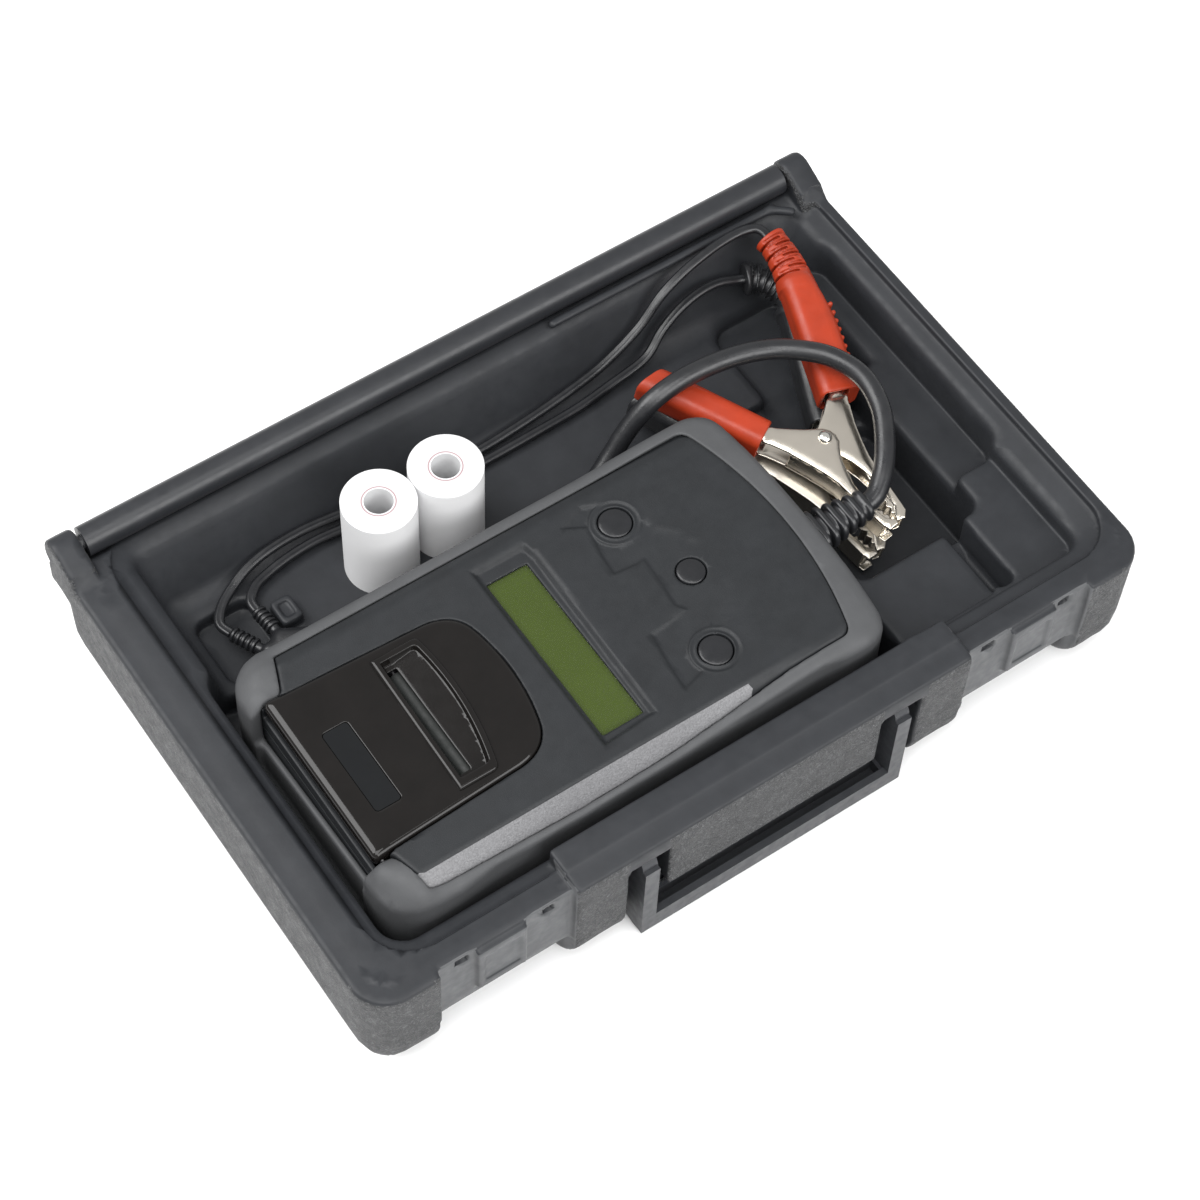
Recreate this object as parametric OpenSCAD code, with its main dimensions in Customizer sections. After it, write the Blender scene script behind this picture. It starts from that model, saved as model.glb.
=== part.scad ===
// Battery and electrical system tester in the lower tray of its moulded carry case.
// Frame: origin on the ground under the middle of the whole kit, +X along the tray
// towards the cable end, +Y towards the lid hinge, +Z up. Millimetres.

/* [Case tray] */
// Length of the tray over its rim
tray_l = 468.8; // [440:1:500]
// Height of the rim above the ground
tray_h = 80; // [76:1:90]
// Wall thickness of the double-skinned moulding
tray_wall = 3; // [2:0.5:4]
// Radius of the rounded lower edges
tray_bottom_r = 28; // [20:1:32]
// Radius of the hinge barrel
barrel_r = 8.3; // [7:0.1:9]
// Height of the raised front rim section
rim_rise = 5; // [2:0.5:7]

/* [Tester] */
// Overall length of the tester over its rubber boot
tester_l = 298; // [290:1:300]
// Overall width of the tester over its rubber boot
tester_w = 164; // [158:1:166]
// Thickness of the tester
tester_h = 70; // [68:1:74]
// Height of the shell parting line above the underside of the boot
part_w = 48; // [46:1:50]
// Shell wall thickness
shell_t = 2.6; // [2:0.1:3]

/* [Display and keys] */
// Visible length of the display
lcd_l = 103; // [95:1:104]
// Visible width of the display
lcd_w = 24; // [18:1:24]
// Radius of the two large keys
key_r = 8.8; // [7:0.1:10]
// Radius of the small key
key_small_r = 7.6; // [6:0.1:8]
// Radial clearance round a key
key_gap = 0.35; // [0.3:0.05:0.6]

/* [Printer] */
// Width of the paper
paper_w = 57; // [56:0.5:58]
// Outside diameter of a full spare roll
roll_d = 39.6; // [36:0.2:40]
// Outside diameter of the paper core
core_d = 18.4; // [14:0.2:19]
// Radius of the platen roller
platen_r = 6; // [4:0.5:7]

/* [Leads and clamps] */
// Diameter of the main cable
cable_d = 11; // [8:0.5:12]
// Width of each twin lead
lead_d = 5.6; // [4:0.2:6]
// Thickness of the jaw plates
plate_t = 1.2; // [1:0.1:1.5]
// Radius of the clamp rivet
rivet_r = 2.5; // [2:0.1:3]
// Running clearance of the moving jaw on its rivet
rivet_gap = 0.06; // [0.02:0.01:0.1]

/* [Hidden] */
$fn = 48;

// offsets from rim coordinates (origin in the middle of the rim) to the part frame
oy = -7.5;
rz = tray_h;
tx0 = -51;
ty0 = -33.8;
tz0 = -56;

front_y = -147.2;
back_y = 160;
half_l = tray_l / 2;
pocket_z = -56;
acc_z = -43;
well_z = -52;
jaw_z = -63;
shelf_z = -29;

shell_x0 = -142; shell_x1 = 140; shell_v = 76;
boot_u = tester_l / 2; boot_v = tester_w / 2;
door_u0 = -139.5; door_u1 = -31; door_v0 = -48.4; door_v1 = 49;
hinge_u = -136.5; hinge_w = 63.5;
lcd_u = -0.5; lcd_v = -1;
key1 = [61.4, 45.0]; key2 = [76.9, 0.4]; key3 = [60.5, -44.0];
boss_pts = [[-132,-66],[-132,66],[0,-68],[0,68],[128,-64],[128,64]];
board_pts = [[30,-57],[30,57],[112,-56],[112,56]];

// clamps: rivet positions, turn about the rivet, and the nose-down tilt they lie at
red_p = [141.6, 8.2, -17];
black_p = [136, 9.5, -39];
red_turn = 0;
black_turn = -4;
tilt = 10;
// grip axes in the clamp plane: start point, direction and length
arm_a = [21.2, 17.5]; ang_a = 72.3;
arm_b = [-25.3, 17]; ang_b = 120.4;
grip_l = 73;
// boot length and bend of each clamp
red_boot = 30; red_bend = 22;
black_boot = 36; black_bend = 90;

module rim_frame() { translate([0, oy, rz]) children(); }
module tester_frame() { translate([tx0, ty0 + oy, tz0 + rz]) children(); }

// rounded rectangle by corner coordinates, exact arcs
module rr2(x0, x1, y0, y1, r) {
  union() {
    translate([x0 + r, y0]) square([x1 - x0 - 2*r, y1 - y0]);
    translate([x0, y0 + r]) square([x1 - x0, y1 - y0 - 2*r]);
    for (x = [x0 + r, x1 - r]) for (y = [y0 + r, y1 - r]) translate([x, y]) circle(r);
  }
}
module rbox(x0, x1, y0, y1, z0, z1, r) {
  translate([0, 0, z0]) linear_extrude(z1 - z0) rr2(x0, x1, y0, y1, r);
}
module bx(x0, x1, y0, y1, z0, z1) { translate([x0, y0, z0]) cube([x1 - x0, y1 - y0, z1 - z0]); }
module cylx(r, x0, x1, y, z) { translate([x0, y, z]) rotate([0, 90, 0]) cylinder(r = r, h = x1 - x0); }
module cyly(r, y0, y1, x, z) { translate([x, y0, z]) rotate([-90, 0, 0]) cylinder(r = r, h = y1 - y0); }
module cylz(r, z0, z1, x, y) { translate([x, y, z0]) cylinder(r = r, h = z1 - z0); }

// ---------- case tray ----------
function edge_in(z, r) = z >= r ? 0 : r - sqrt(r*r - (r - z)*(r - z));
module tray_body(e) {
  // outer form of the moulding, shrunk by e
  lv = [0, 3, 8, 16, tray_bottom_r];
  hull() {
    for (z = lv) translate([0, 0, -rz + e + z*(1 - e/tray_bottom_r)]) linear_extrude(0.2)
      rr2(-half_l + e + 1 + edge_in(z, tray_bottom_r)*0.92, half_l - e - 1 - edge_in(z, tray_bottom_r)*0.92,
          front_y + e + 1 + edge_in(z, tray_bottom_r)*0.92, back_y - e - 1 - edge_in(z, tray_bottom_r)*0.92, 20, $fn = 32);
    translate([0, 0, -0.2 - e]) linear_extrude(0.2) rr2(-half_l + e, half_l - e, front_y + e, back_y - e, 20, $fn = 32);
  }
}
module tray_space(e) {
  // the room inside the tray, grown by e
  rbox(-205 - e, 105 + e, -119.5 - e, 60 + e, pocket_z - e, 30, 14);
  hull() {
    translate([0, 0, acc_z - e]) linear_extrude(0.2) rr2(-192 - e, 196 + e, 50, 120.5 + e, 10, $fn = 32);
    translate([0, 0, 0]) linear_extrude(30) rr2(-201 - e, 218 + e, 45, 143 + e, 12, $fn = 32);
  }
  rbox(84 - e, 186 + e, -58 - e, 62 + e, well_z - e, 30, 8);
  rbox(148 - e, 199 + e, 40, 117 + e, well_z - e, 30, 8);
  rbox(110 - e, 188 + e, -68 - e, 26 + e, jaw_z - e, 30, 8);
  rbox(150, 216 + e, -46 - e, 112 + e, shelf_z - e, 30, 10);
  rbox(95, 211 + e, -119.5 - e, -40, -18 - e, 30, 10);
  rbox(95, 165 + e, -113 - e, -60, -25 - e, 30, 6);
  rbox(165 - e, 176 + e, -113 - e, -52, -40 - e, 30, 4);
  rbox(-184 - e, -152 + e, 66, 108 + e, well_z - e, 30, 6);
}
module front_recess(e) {
  // latch seats and the handle recess in the front wall, grown by e
  for (s = [-1, 1]) bx(s*157 - 38 - e, s*157 + 38 + e, front_y - 5, -141.5 + e, -90, 10);
  difference() {
    bx(-88 - e, 88 + e, front_y - 5, -131.5 + e, -90, -9 + e);
    if (e == 0) bx(-64, 64, front_y, -130, -47, -5);
  }
}
module handle_bores(e) {
  for (s = [-1, 1]) cylx(2.6 + e, s*90 - 6 - e, s*90 + 6 + e, -140, -17);
}
module case_tray() color([0.26, 0.27, 0.29]) rim_frame() {
  difference() {
    union() {
      difference() {
        tray_body(0);
        // air gap between the two skins
        difference() {
          tray_body(tray_wall);
          tray_space(tray_wall);
          front_recess(tray_wall);
          bx(-half_l, half_l, 139, back_y + 5, -14, 20);
          handle_bores(tray_wall);
        }
      }
      // raised front section
      translate([-118, 0, 0]) rotate([90, 0, 90]) linear_extrude(236)
        polygon([[-147, -1], [-147, rim_rise - 2.5], [-136.5, rim_rise - 0.6], [-136, rim_rise], [-119.5, rim_rise], [-119.5, -1]]);
      // locating bead round the rim
      difference() {
        rbox(-226, 226, -139, 133, -0.5, 1.2, 14);
        rbox(-221.5, 221.5, -134.5, 128.5, -2, 5, 12);
      }
      // hinge ears
      for (s = [-1, 1]) translate([s > 0 ? 218.5 : -half_l, 0, 0]) rotate([90, 0, 90]) linear_extrude(half_l - 218.5)
        union() {
          translate([153.4, 3.4]) circle(10);
          polygon([[131, -20], [131, 0.5], [136, 6.5], [143, 9.5], [153.4, 13.4], [163.4, 3.4], [161.5, -20]]);
        }
    }
    difference() {
      tray_space(0);
      // clip post beside the lead splitter
      rbox(-146.5, -134.5, 78, 94, acc_z - 12, -35.5, 2.5);
    }
    front_recess(0);
    // seat of the hinge barrel
    cylx(barrel_r + 1.2, -218.5, 218.5, 153.4, 4.2);
    bx(-218.5, 218.5, 144.5, 170, 0, 30);
    // bores of the barrel journals
    for (s = [-1, 1]) cylx(4.06, s*225 - 7.5, s*225 + 7.5, 153.4, 4.2);
    handle_bores(0);
  }
}
module hinge_barrel() color([0.22, 0.23, 0.25]) rim_frame() {
  cylx(barrel_r, -216.5, 216.5, 153.4, 4.2, $fn = 64);
  cylx(4, -229, 229, 153.4, 4.2);
}

// swing handle, hanging stowed against the front wall
module carry_handle() color([0.3, 0.31, 0.33]) rim_frame() {
  difference() {
    union() {
      for (s = [-1, 1]) {
        translate([s*80.5 - s*(s > 0 ? 8.5 : 0) - (s < 0 ? 0 : 0), 0, 0])
          rotate([90, 0, 90]) linear_extrude(8.5) union() {
            translate([-140, -17]) circle(7.2);
            translate([-149.5, -72]) square([14, 55]);
            translate([-147.2, -17]) square([11.7, 1]);
            translate([-142.5, -72]) circle(7);
          }
      }
      bx(-80.5, 80.5, -149.5, -136, -78.5, -67);
      bx(-80.5, 80.5, -149.5, -145.5, -68, -65.5);
    }
    for (s = [-1, 1]) cylx(2.56, s*76 - 8, s*76 + 8, -140, -17);
    bx(-70, 70, -145.5, -138, -75.5, -60);
  }
}
module handle_pins() color([0.7, 0.71, 0.73]) rim_frame()
  for (s = [-1, 1]) cylx(2.5, s*83.8 - 11.5, s*83.8 + 11.5, -140, -17);

// ---------- tester shells ----------
module plan(e) {
  // plan outline of the shells, shrunk by e, with softly bowed ends
  intersection() {
    rr2(shell_x0 + e, shell_x1 - e, -shell_v + e, shell_v - e, 20 - e);
    translate([shell_x1 - e - 700, 0]) circle(700, $fn = 360);
  }
}
module top_profile(e) {
  polygon([[-76 + e, part_w], [-76 + e, 60], [-74 + e, 64.5 - e], [-61 + e*0.4, 70 - e], [61 - e*0.4, 70 - e], [74 - e, 64.5 - e], [76 - e, 60], [76 - e, part_w]]);
}
module shell_block(e) {
  intersection() {
    translate([-160, 0, 0]) rotate([90, 0, 90]) linear_extrude(320) top_profile(e);
    linear_extrude(90) plan(e);
  }
}
module top_shell() color([0.2, 0.21, 0.23]) tester_frame() {
  difference() {
    union() {
      difference() {
        shell_block(0);
        translate([0, 0, -0.01]) shell_block(shell_t);
      }
      for (p = boss_pts) cylz(4.2, part_w, 66, p[0], p[1]*0.985);
      for (p = board_pts) cylz(3, 51.7, 68, p[0], p[1]);
      // walls of the printer bay
      difference() {
        rbox(door_u0 - 1.5, door_u1 + 2.4, door_v0 - 2.4, door_v1 + 2.4, part_w, 68, 9);
        rbox(door_u0 - 6, door_u1 - 0.6, door_v0 + 0.6, door_v1 - 0.6, part_w - 1, 80, 8);
      }
      // display well
      difference() {
        rbox(lcd_u - 17.5, lcd_u + 17.5, lcd_v - 59.5, lcd_v + 59.5, 65.8, 68, 2);
        rbox(lcd_u - lcd_w/2, lcd_u + lcd_w/2, lcd_v - lcd_l/2, lcd_v + lcd_l/2, 60, 80, 1);
      }
      // key collars
      for (k = [key1, key2, key3]) cylz((k == key2 ? key_small_r : key_r) + 2.2, 63, 68, k[0], k[1]);
    }
    // door opening
    rbox(door_u0 + 0.3, door_u1 + 0.3, door_v0 - 0.3, door_v1 + 0.3, 62.4, 80, 9);
    rbox(door_u0 + 0.6, door_u1 - 2.6, door_v0 + 2.6, door_v1 - 2.6, part_w - 1, 80, 8);
    bx(shell_x0 - 2, door_u0 + 8, -20, 20, 60, 80);
    bx(shell_x0 - 2, hinge_u + 6, door_v0 - 0.3, door_v1 + 0.3, 58.5, 80);
    // display window and bezel recess
    bx(lcd_u - lcd_w/2, lcd_u + lcd_w/2, lcd_v - lcd_l/2, lcd_v + lcd_l/2, 60, 80);
    rbox(lcd_u - 16, lcd_u + 16, lcd_v - 58, lcd_v + 58, 67.2, 80, 1);
    // key holes
    for (k = [key1, key2, key3]) cylz((k == key2 ? key_small_r : key_r) + key_gap, 58, 80, k[0], k[1]);
    // bore for the door hinge pin
    cyly(1.56, door_v0 - 6, door_v1 + 6, hinge_u, hinge_w);
    // screw pilots
    for (p = boss_pts) cylz(1.25, part_w - 1, 62, p[0], p[1]*0.985);
    for (p = board_pts) cylz(1.0, 50, 60, p[0], p[1]);
    // cable entry
    cylx(7.1, 130, 150, -5.2, part_w);
  }
}
module bottom_shell() color([0.2, 0.21, 0.23]) tester_frame() {
  difference() {
    union() {
      difference() {
        intersection() {
          translate([-160, 0, 0]) rotate([90, 0, 90]) linear_extrude(320)
            polygon([[-76, part_w], [-76, 10], [-69, 3], [69, 3], [76, 10], [76, part_w]]);
          linear_extrude(part_w) plan(0);
        }
        intersection() {
          translate([-160, 0, 0]) rotate([90, 0, 90]) linear_extrude(320)
            polygon([[-76 + shell_t, part_w + 1], [-76 + shell_t, 11.2], [-68, 3 + shell_t], [68, 3 + shell_t], [76 - shell_t, 11.2], [76 - shell_t, part_w + 1]]);
          linear_extrude(part_w + 1) plan(shell_t);
        }
      }
      for (p = boss_pts) cylz(4.2, 3.5, part_w, p[0], p[1]*0.985);
      // battery tray walls
      difference() {
        bx(30, 128, -36, 36, 4, 24);
        bx(32, 126, -34, 34, 2, 22);
      }
    }
    bx(32, 126, -34, 34, 2, 22);
    bx(30.6, 127.4, -38.6, 38.6, 2.9, 5);
    for (p = boss_pts) { cylz(1.7, 2, part_w + 1, p[0], p[1]*0.985); cylz(3.2, 2, 14, p[0], p[1]*0.985); }
        cylx(7.1, 130, 150, -5.2, part_w);
  }
  for (s = [-1, 1]) difference() { cylz(2.9, 5.55, 20, 79, s*37.2); cylz(1.1, 5, 16, 79, s*37.2); }
}
module rubber_boot() color([0.33, 0.34, 0.36]) tester_frame() {
  difference() {
    union() {
      rbox(-boot_u, boot_u, -boot_v, boot_v, 0, 58, 24);
      rbox(-boot_u + 1.2, boot_u - 1.2, -boot_v + 1.2, boot_v - 1.2, 57, 62, 23);
      rbox(-boot_u + 3.5, boot_u - 3.5, -boot_v + 3.5, boot_v - 3.5, 61, 65, 21);
      intersection() {
        rbox(120, boot_u - 4.5, -72, 72, 50, 68.5, 16);
        translate([boot_u - 4.5 - 700, 0, 0]) cylinder(r = 700, h = 90, $fn = 360);
      }
    }
    translate([0, 0, 3]) linear_extrude(90) plan(-0.05);
    translate([0, 0, -1]) linear_extrude(5) rr2(-118, 118, -58, 58, 14);
    // the printer end is left open between two corner bumpers
    bx(-boot_u - 5, -boot_u + 30, -50.6, 50.6, 44, 90);
    cylx(12.8, 130, 160, -5.2, part_w);
    bx(130, 160, -18, 7.6, part_w, 70);
  }
}
// ---------- printer ----------
module door_plan(e) { rr2(door_u0 + e, door_u1 - e, door_v0 + e, door_v1 - e, 8); }
module printer_door() color([0.05, 0.05, 0.055]) tester_frame() {
  difference() {
    union() {
      difference() {
        intersection() {
          translate([0, 0, 63]) linear_extrude(9.2) rr2(door_u0 - 2.2, door_u1, door_v0, door_v1, 8);
          union() {
            rbox(door_u0 - 10, door_u1, door_v0, door_v1, 60, 71, 8);
            rbox(door_u0 - 10, door_u1 - 1.2, door_v0 + 1.2, door_v1 - 1.2, 60, 72, 7);
          }
        }
        rbox(door_u0 + 1.6, door_u1 - 2, door_v0 + 2, door_v1 - 2, 60, 69.8, 6);
      }
      for (s = [-1, 1]) cyly(3, s*38 - 5, s*38 + 5, hinge_u, hinge_w);
      for (s = [-1, 1]) bx(hinge_u - 3, hinge_u + 3, s*38 - 5, s*38 + 5, hinge_w, 70.5);
    }
    cyly(1.5 + 0.06, -60, 60, hinge_u, hinge_w);
    // paper slot and its seat
    bx(-89.2, -61.8, -42.2, 42.6, 69, 80);
    bx(-84, -72, -34, 34, 60, 80);
    // seat of the window
    rbox(-127.2, -112.8, -30.2, 20.2, 71, 80, 2);
    // clear of the frame cheeks
    bx(-92, -50, -46, 46, 60, 68);
  }
}
module door_hinge_pin() color([0.75, 0.76, 0.78]) tester_frame() cyly(1.5, door_v0 - 5, door_v1 + 5, hinge_u, hinge_w);
module slot_bezel() color([0.1, 0.1, 0.11]) tester_frame() difference() {
  union() {
    bx(-89, -62, -42, 42.4, 69, 71);
    difference() {
      rbox(-89, -62, -42, 42.4, 70.5, 74, 4);
      rbox(-86.6, -66, -38.5, 38.8, 70, 80, 2);
    }
  }
  bx(-83, -73, -33.5, 33.5, 60, 80);
}
module door_window() color([0.02, 0.02, 0.025]) tester_frame() rbox(-127, -113, -30, 20, 71, 71.7, 2);
module tear_bar() color([0.75, 0.76, 0.78]) tester_frame() union() {
  bx(-73, -71.8, -36.2, 36.2, 65.4, 67.5);
  for (k = [0 : 30]) translate([-73, k*2 - 30.9, 67.5]) rotate([90, 0, 90]) linear_extrude(1.2) polygon([[0, -0.1], [1.8, -0.1], [0.9, 1.1]]);
}
module paper_bucket() color([0.16, 0.17, 0.19]) tester_frame() difference() {
  bx(-136, -90.5, -31.5, 31.5, 12, 58);
  cyly(21.6, -29.5, 29.5, -113, 37);
  bx(-134.6, -92, -29.5, 29.5, 37, 60);
}
module printer_frame() color([0.12, 0.12, 0.13]) tester_frame() {
  difference() {
    union() {
      for (s = [-1, 1]) bx(-90, -56, s*37.5 - 1.2, s*37.5 + 1.2, 36, 66.5);
      bx(-90, -56, -38, 38, 36, 38.4);
    }
    for (s = [-1, 1]) cyly(2.05, s*37.5 - 3, s*37.5 + 3, -76, 59.5);
    cyly(1.4, -40, -30, -58.6, 41.3);
  }
  cyly(2, -43, -38.7, -65.5, 50.5);
}
module platen_shaft() color([0.78, 0.79, 0.8]) tester_frame() cyly(2, -44, 40, -76, 59.5);
module platen_rubber() color([0.1, 0.1, 0.1]) tester_frame() difference() {
  cyly(platen_r, -33, 33, -76, 59.5);
  cyly(2, -34, 34, -76, 59.5);
}
// involute-like spur gear with straight-flanked teeth
module gear(z, m, t, bore) {
  linear_extrude(t) difference() {
    union() {
      circle(m*z/2 - 1.25*m);
      for (i = [0 : z - 1]) rotate(i*360/z) polygon([[m*z/2 - 1.5*m, -0.92*m], [m*z/2, -0.70*m], [m*z/2 + 0.9*m, -0.34*m], [m*z/2 + 0.9*m, 0.34*m], [m*z/2, 0.70*m], [m*z/2 - 1.5*m, 0.92*m]]);
    }
    circle(bore);
  }
}
module platen_gear() color([0.85, 0.85, 0.8]) tester_frame() translate([-76, -42.5, 59.5]) rotate([90, 0, 0]) translate([0, 0, -1.6]) rotate(4.4) gear(16, 0.7, 3, 2);
module idler_gear() color([0.85, 0.85, 0.8]) tester_frame() translate([-65.5, -42.5, 50.5]) rotate([90, 0, 0]) translate([0, 0, -1.6]) rotate(0.31) gear(22, 0.7, 3, 2.05);
module motor_pinion() color([0.75, 0.7, 0.5]) tester_frame() translate([-58.6, -42.5, 41.3]) rotate([90, 0, 0]) translate([0, 0, -1.6]) rotate(27.29) gear(10, 0.7, 3, 1);
module feed_motor() color([0.6, 0.61, 0.63]) tester_frame() union() {
  cyly(1, -46, -35.9, -58.6, 41.3);
  difference() {
    cyly(9.6, -36, -20, -58.6, 48.9);
    bx(-100, -20, -40, -10, 38.6 - 100, 38.7);
    bx(-68.9, -64, -40, -10, 30, 70);
  }
}
module thermal_head() color([0.8, 0.78, 0.7]) tester_frame() union() {
  bx(-69.2, -67.2, -32, 32, 44, 64);
  bx(-69.9, -69.1, -30, 30, 57, 62);
}
module loaded_paper() color([0.95, 0.95, 0.93]) tester_frame() difference() {
  cyly(17, -paper_w/2, paper_w/2, -113, 35.5);
  cyly(core_d/2 - 3, -40, 40, -113, 35.5);
}
module loaded_core() color([0.75, 0.6, 0.58]) tester_frame() difference() {
  cyly(core_d/2 - 3, -paper_w/2, paper_w/2, -113, 35.5);
  cyly(core_d/2 - 4.6, -40, 40, -113, 35.5);
}
// ---------- display, board and keys ----------
module lcd_window() color([0.3, 0.36, 0.2]) tester_frame() bx(lcd_u - lcd_w/2 + 0.3, lcd_u + lcd_w/2 - 0.3, lcd_v - lcd_l/2 + 0.3, lcd_v + lcd_l/2 - 0.3, 65.7, 66.9);
module lcd_panel() color([0.36, 0.42, 0.16]) tester_frame() bx(lcd_u - 14, lcd_u + 14, lcd_v - 54, lcd_v + 54, 63.3, 65.5);
module lcd_module() color([0.1, 0.25, 0.15]) tester_frame() union() {
  bx(lcd_u - 20, lcd_u + 20, lcd_v - 60.5, lcd_v + 60.5, 57.2, 58.8);
  bx(lcd_u - 16, lcd_u + 16, lcd_v - 56, lcd_v + 56, 58.8, 63.2);
}
module main_board() color([0.08, 0.3, 0.14]) tester_frame() difference() {
  union() {
    bx(-24, 118, -61, 61, 50, 51.6);
    for (k = [key1, key2, key3]) bx(k[0] - 3, k[0] + 3, k[1] - 3, k[1] + 3, 51.6, 55);
    bx(70, 92, -24, -10, 51.6, 53.4);
    bx(96, 106, 12, 34, 51.6, 58);
    cylz(4, 51.6, 60, 104, -30);
  }
  for (p = board_pts) cylz(1.3, 49, 53, p[0], p[1]);
}
module board_screws() color([0.8, 0.8, 0.8]) tester_frame() for (p = board_pts) union() {
  cylz(2.2, 48.4, 49.9, p[0], p[1]);
  cylz(0.95, 49.8, 58, p[0], p[1]);
}
module key_mat() color([0.25, 0.25, 0.26]) tester_frame() difference() {
  rbox(44, 92, -58, 58, 55.6, 56.8, 4);
  for (k = [key1, key2, key3]) cylz(3.4, 50, 60, k[0], k[1]);
}
module key(k, r) tester_frame() difference() {
  union() {
    cylz(r, 61, 69.6, k[0], k[1]);
    cylz(r - 1.3, 69.5, 70.6, k[0], k[1]);
    cylz(2.6, 57.2, 61.1, k[0], k[1]);
    cylz(r + 1.6, 60.6, 62.4, k[0], k[1]);
  }
}
module key_left() color([0.05, 0.05, 0.05]) key(key1, key_r);
module key_middle() color([0.05, 0.05, 0.05]) key(key2, key_small_r);
module key_right() color([0.05, 0.05, 0.05]) key(key3, key_r);

// ---------- power ----------
module battery_cells() color([0.2, 0.25, 0.5]) tester_frame() for (i = [0 : 5]) translate([40.4 + i*15.3, 0, 13.4]) rotate([90, 0, 0]) union() {
  translate([0, 0, -25]) cylinder(r = 7.1, h = 49);
  translate([0, 0, 23.9]) cylinder(r = 2.7, h = 1.5);
}
module battery_contacts() color([0.8, 0.8, 0.8]) tester_frame() for (i = [0 : 5]) {
  translate([40.4 + i*15.3, 0, 13.4]) rotate([90, 0, 0]) {
    translate([0, 0, -33.8]) cylinder(r = 5, h = 0.6);
    for (k = [0 : 3]) translate([0, 0, -32.6 + k*2.1]) rotate_extrude($fn = 32) translate([3.6 - k*0.3, 0]) circle(0.45, $fn = 16);
    translate([0, 0, 33.2]) cylinder(r = 5, h = 0.6);
    translate([0, 0, 25.5]) cylinder(r = 1.6, h = 7.8);
  }
}
module battery_cover() color([0.21, 0.22, 0.24]) tester_frame() difference() {
  union() {
    bx(30.9, 127.1, -38.3, 38.3, 3, 4.9);
    for (i = [0 : 5]) bx(42 + i*6, 44 + i*6, -20, 20, 2.4, 3.1);
  }
  for (s = [-1, 1]) cylz(1.4, 2, 6, 79, s*37.2);
}
module cover_screws() color([0.7, 0.7, 0.7]) tester_frame() for (s = [-1, 1]) union() {
  cylz(2.2, 1.6, 3, 79, s*37.2);
  cylz(1.05, 2.9, 9, 79, s*37.2);
}
module shell_screws() color([0.5, 0.5, 0.5]) tester_frame() for (p = boss_pts) union() {
  cylz(2.9, 11.8, 14, p[0], p[1]*0.985);
  cylz(1.2, 13.9, 60, p[0], p[1]*0.985);
}

// ---------- leads ----------
relief_c = [0, -39, -8];
module cable_relief() color([0.09, 0.09, 0.1]) rim_frame() difference() {
  union() {
    cylx(7, 86, 99.5, -39, -8);
    cylx(9.5, 82, 86.1, -39, -8);
    translate([99, -39, -8]) rotate([90, 0, 90]) linear_extrude(34.6) rr2(-8, 8, -5.9, 5.9, 5.8);
    for (i = [0 : 5]) translate([100 + i*6, -39, -8]) rotate([90, 0, 90]) linear_extrude(3.2)
      rr2(-12.4 + i*0.7, 12.4 - i*0.7, -7.4 + i*0.1, 7.4 - i*0.1, 6);
  }
}
// tube swept along points with planes normal to the path
function dirv(p, i) = let(a = p[max(i - 1, 0)], b = p[min(i + 1, len(p) - 1)], d = b - a) d/norm(d);
function ringpt(c, d, r, t) = let(h = norm([d[0], d[1]]) < 0.01 ? [1, 0, 0] : [-d[1], d[0], 0]/norm([d[0], d[1]]), u = cross(d, h)) c + r*cos(t)*h + r*sin(t)*u;
module tube(p, r, n) {
  pts = concat([for (i = [0 : len(p) - 1]) for (k = [0 : n - 1]) ringpt(p[i], dirv(p, i), r, k*360/n + 180/n)]);
  sides = [for (i = [0 : len(p) - 2]) for (k = [0 : n - 1]) [i*n + k, i*n + (k + 1)%n, (i + 1)*n + (k + 1)%n, (i + 1)*n + k]];
  polyhedron(points = pts, faces = concat([[for (k = [0 : n - 1]) n - 1 - k]], [for (f = sides) f], [[for (k = [0 : n - 1]) (len(p) - 1)*n + k]]), convexity = 10);
}
// Catmull-Rom points between the given route points
function crp(a, b, c, d, t) = 0.5*((2*b) + (c - a)*t + (2*a - 5*b + 4*c - d)*t*t + (-a + 3*b - 3*c + d)*t*t*t);
function smooth(p, k) = concat([for (i = [0 : len(p) - 2]) for (j = [0 : k - 1]) crp(p[max(i - 1, 0)], p[i], p[i + 1], p[min(i + 2, len(p) - 1)], j/k)], [p[len(p) - 1]]);

cable_route = [[133.6, -39, -8], [136.5, -39, -8], [143, -36.6, -6.2], [153, -28, -2], [163.5, -14, 2], [171, 1, 5], [173, 19, 8], [165.5, 37, 10.2], [151.5, 50.5, 11.4], [138, 58.5, 12], [122, 63.5, 12.4], [104, 66, 12.6], [88, 66.5, 12], [72, 66.5, 7], [58, 66.5, -6], [46, 64.5, -19], [34, 61.5, -29], [18, 58.5, -35.6], [0, 57.5, -37.2], [-30, 57.5, -37.2], [-60, 57.5, -37.2], [-90, 57.5, -37.2], [-112, 58, -37.2]];
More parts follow.
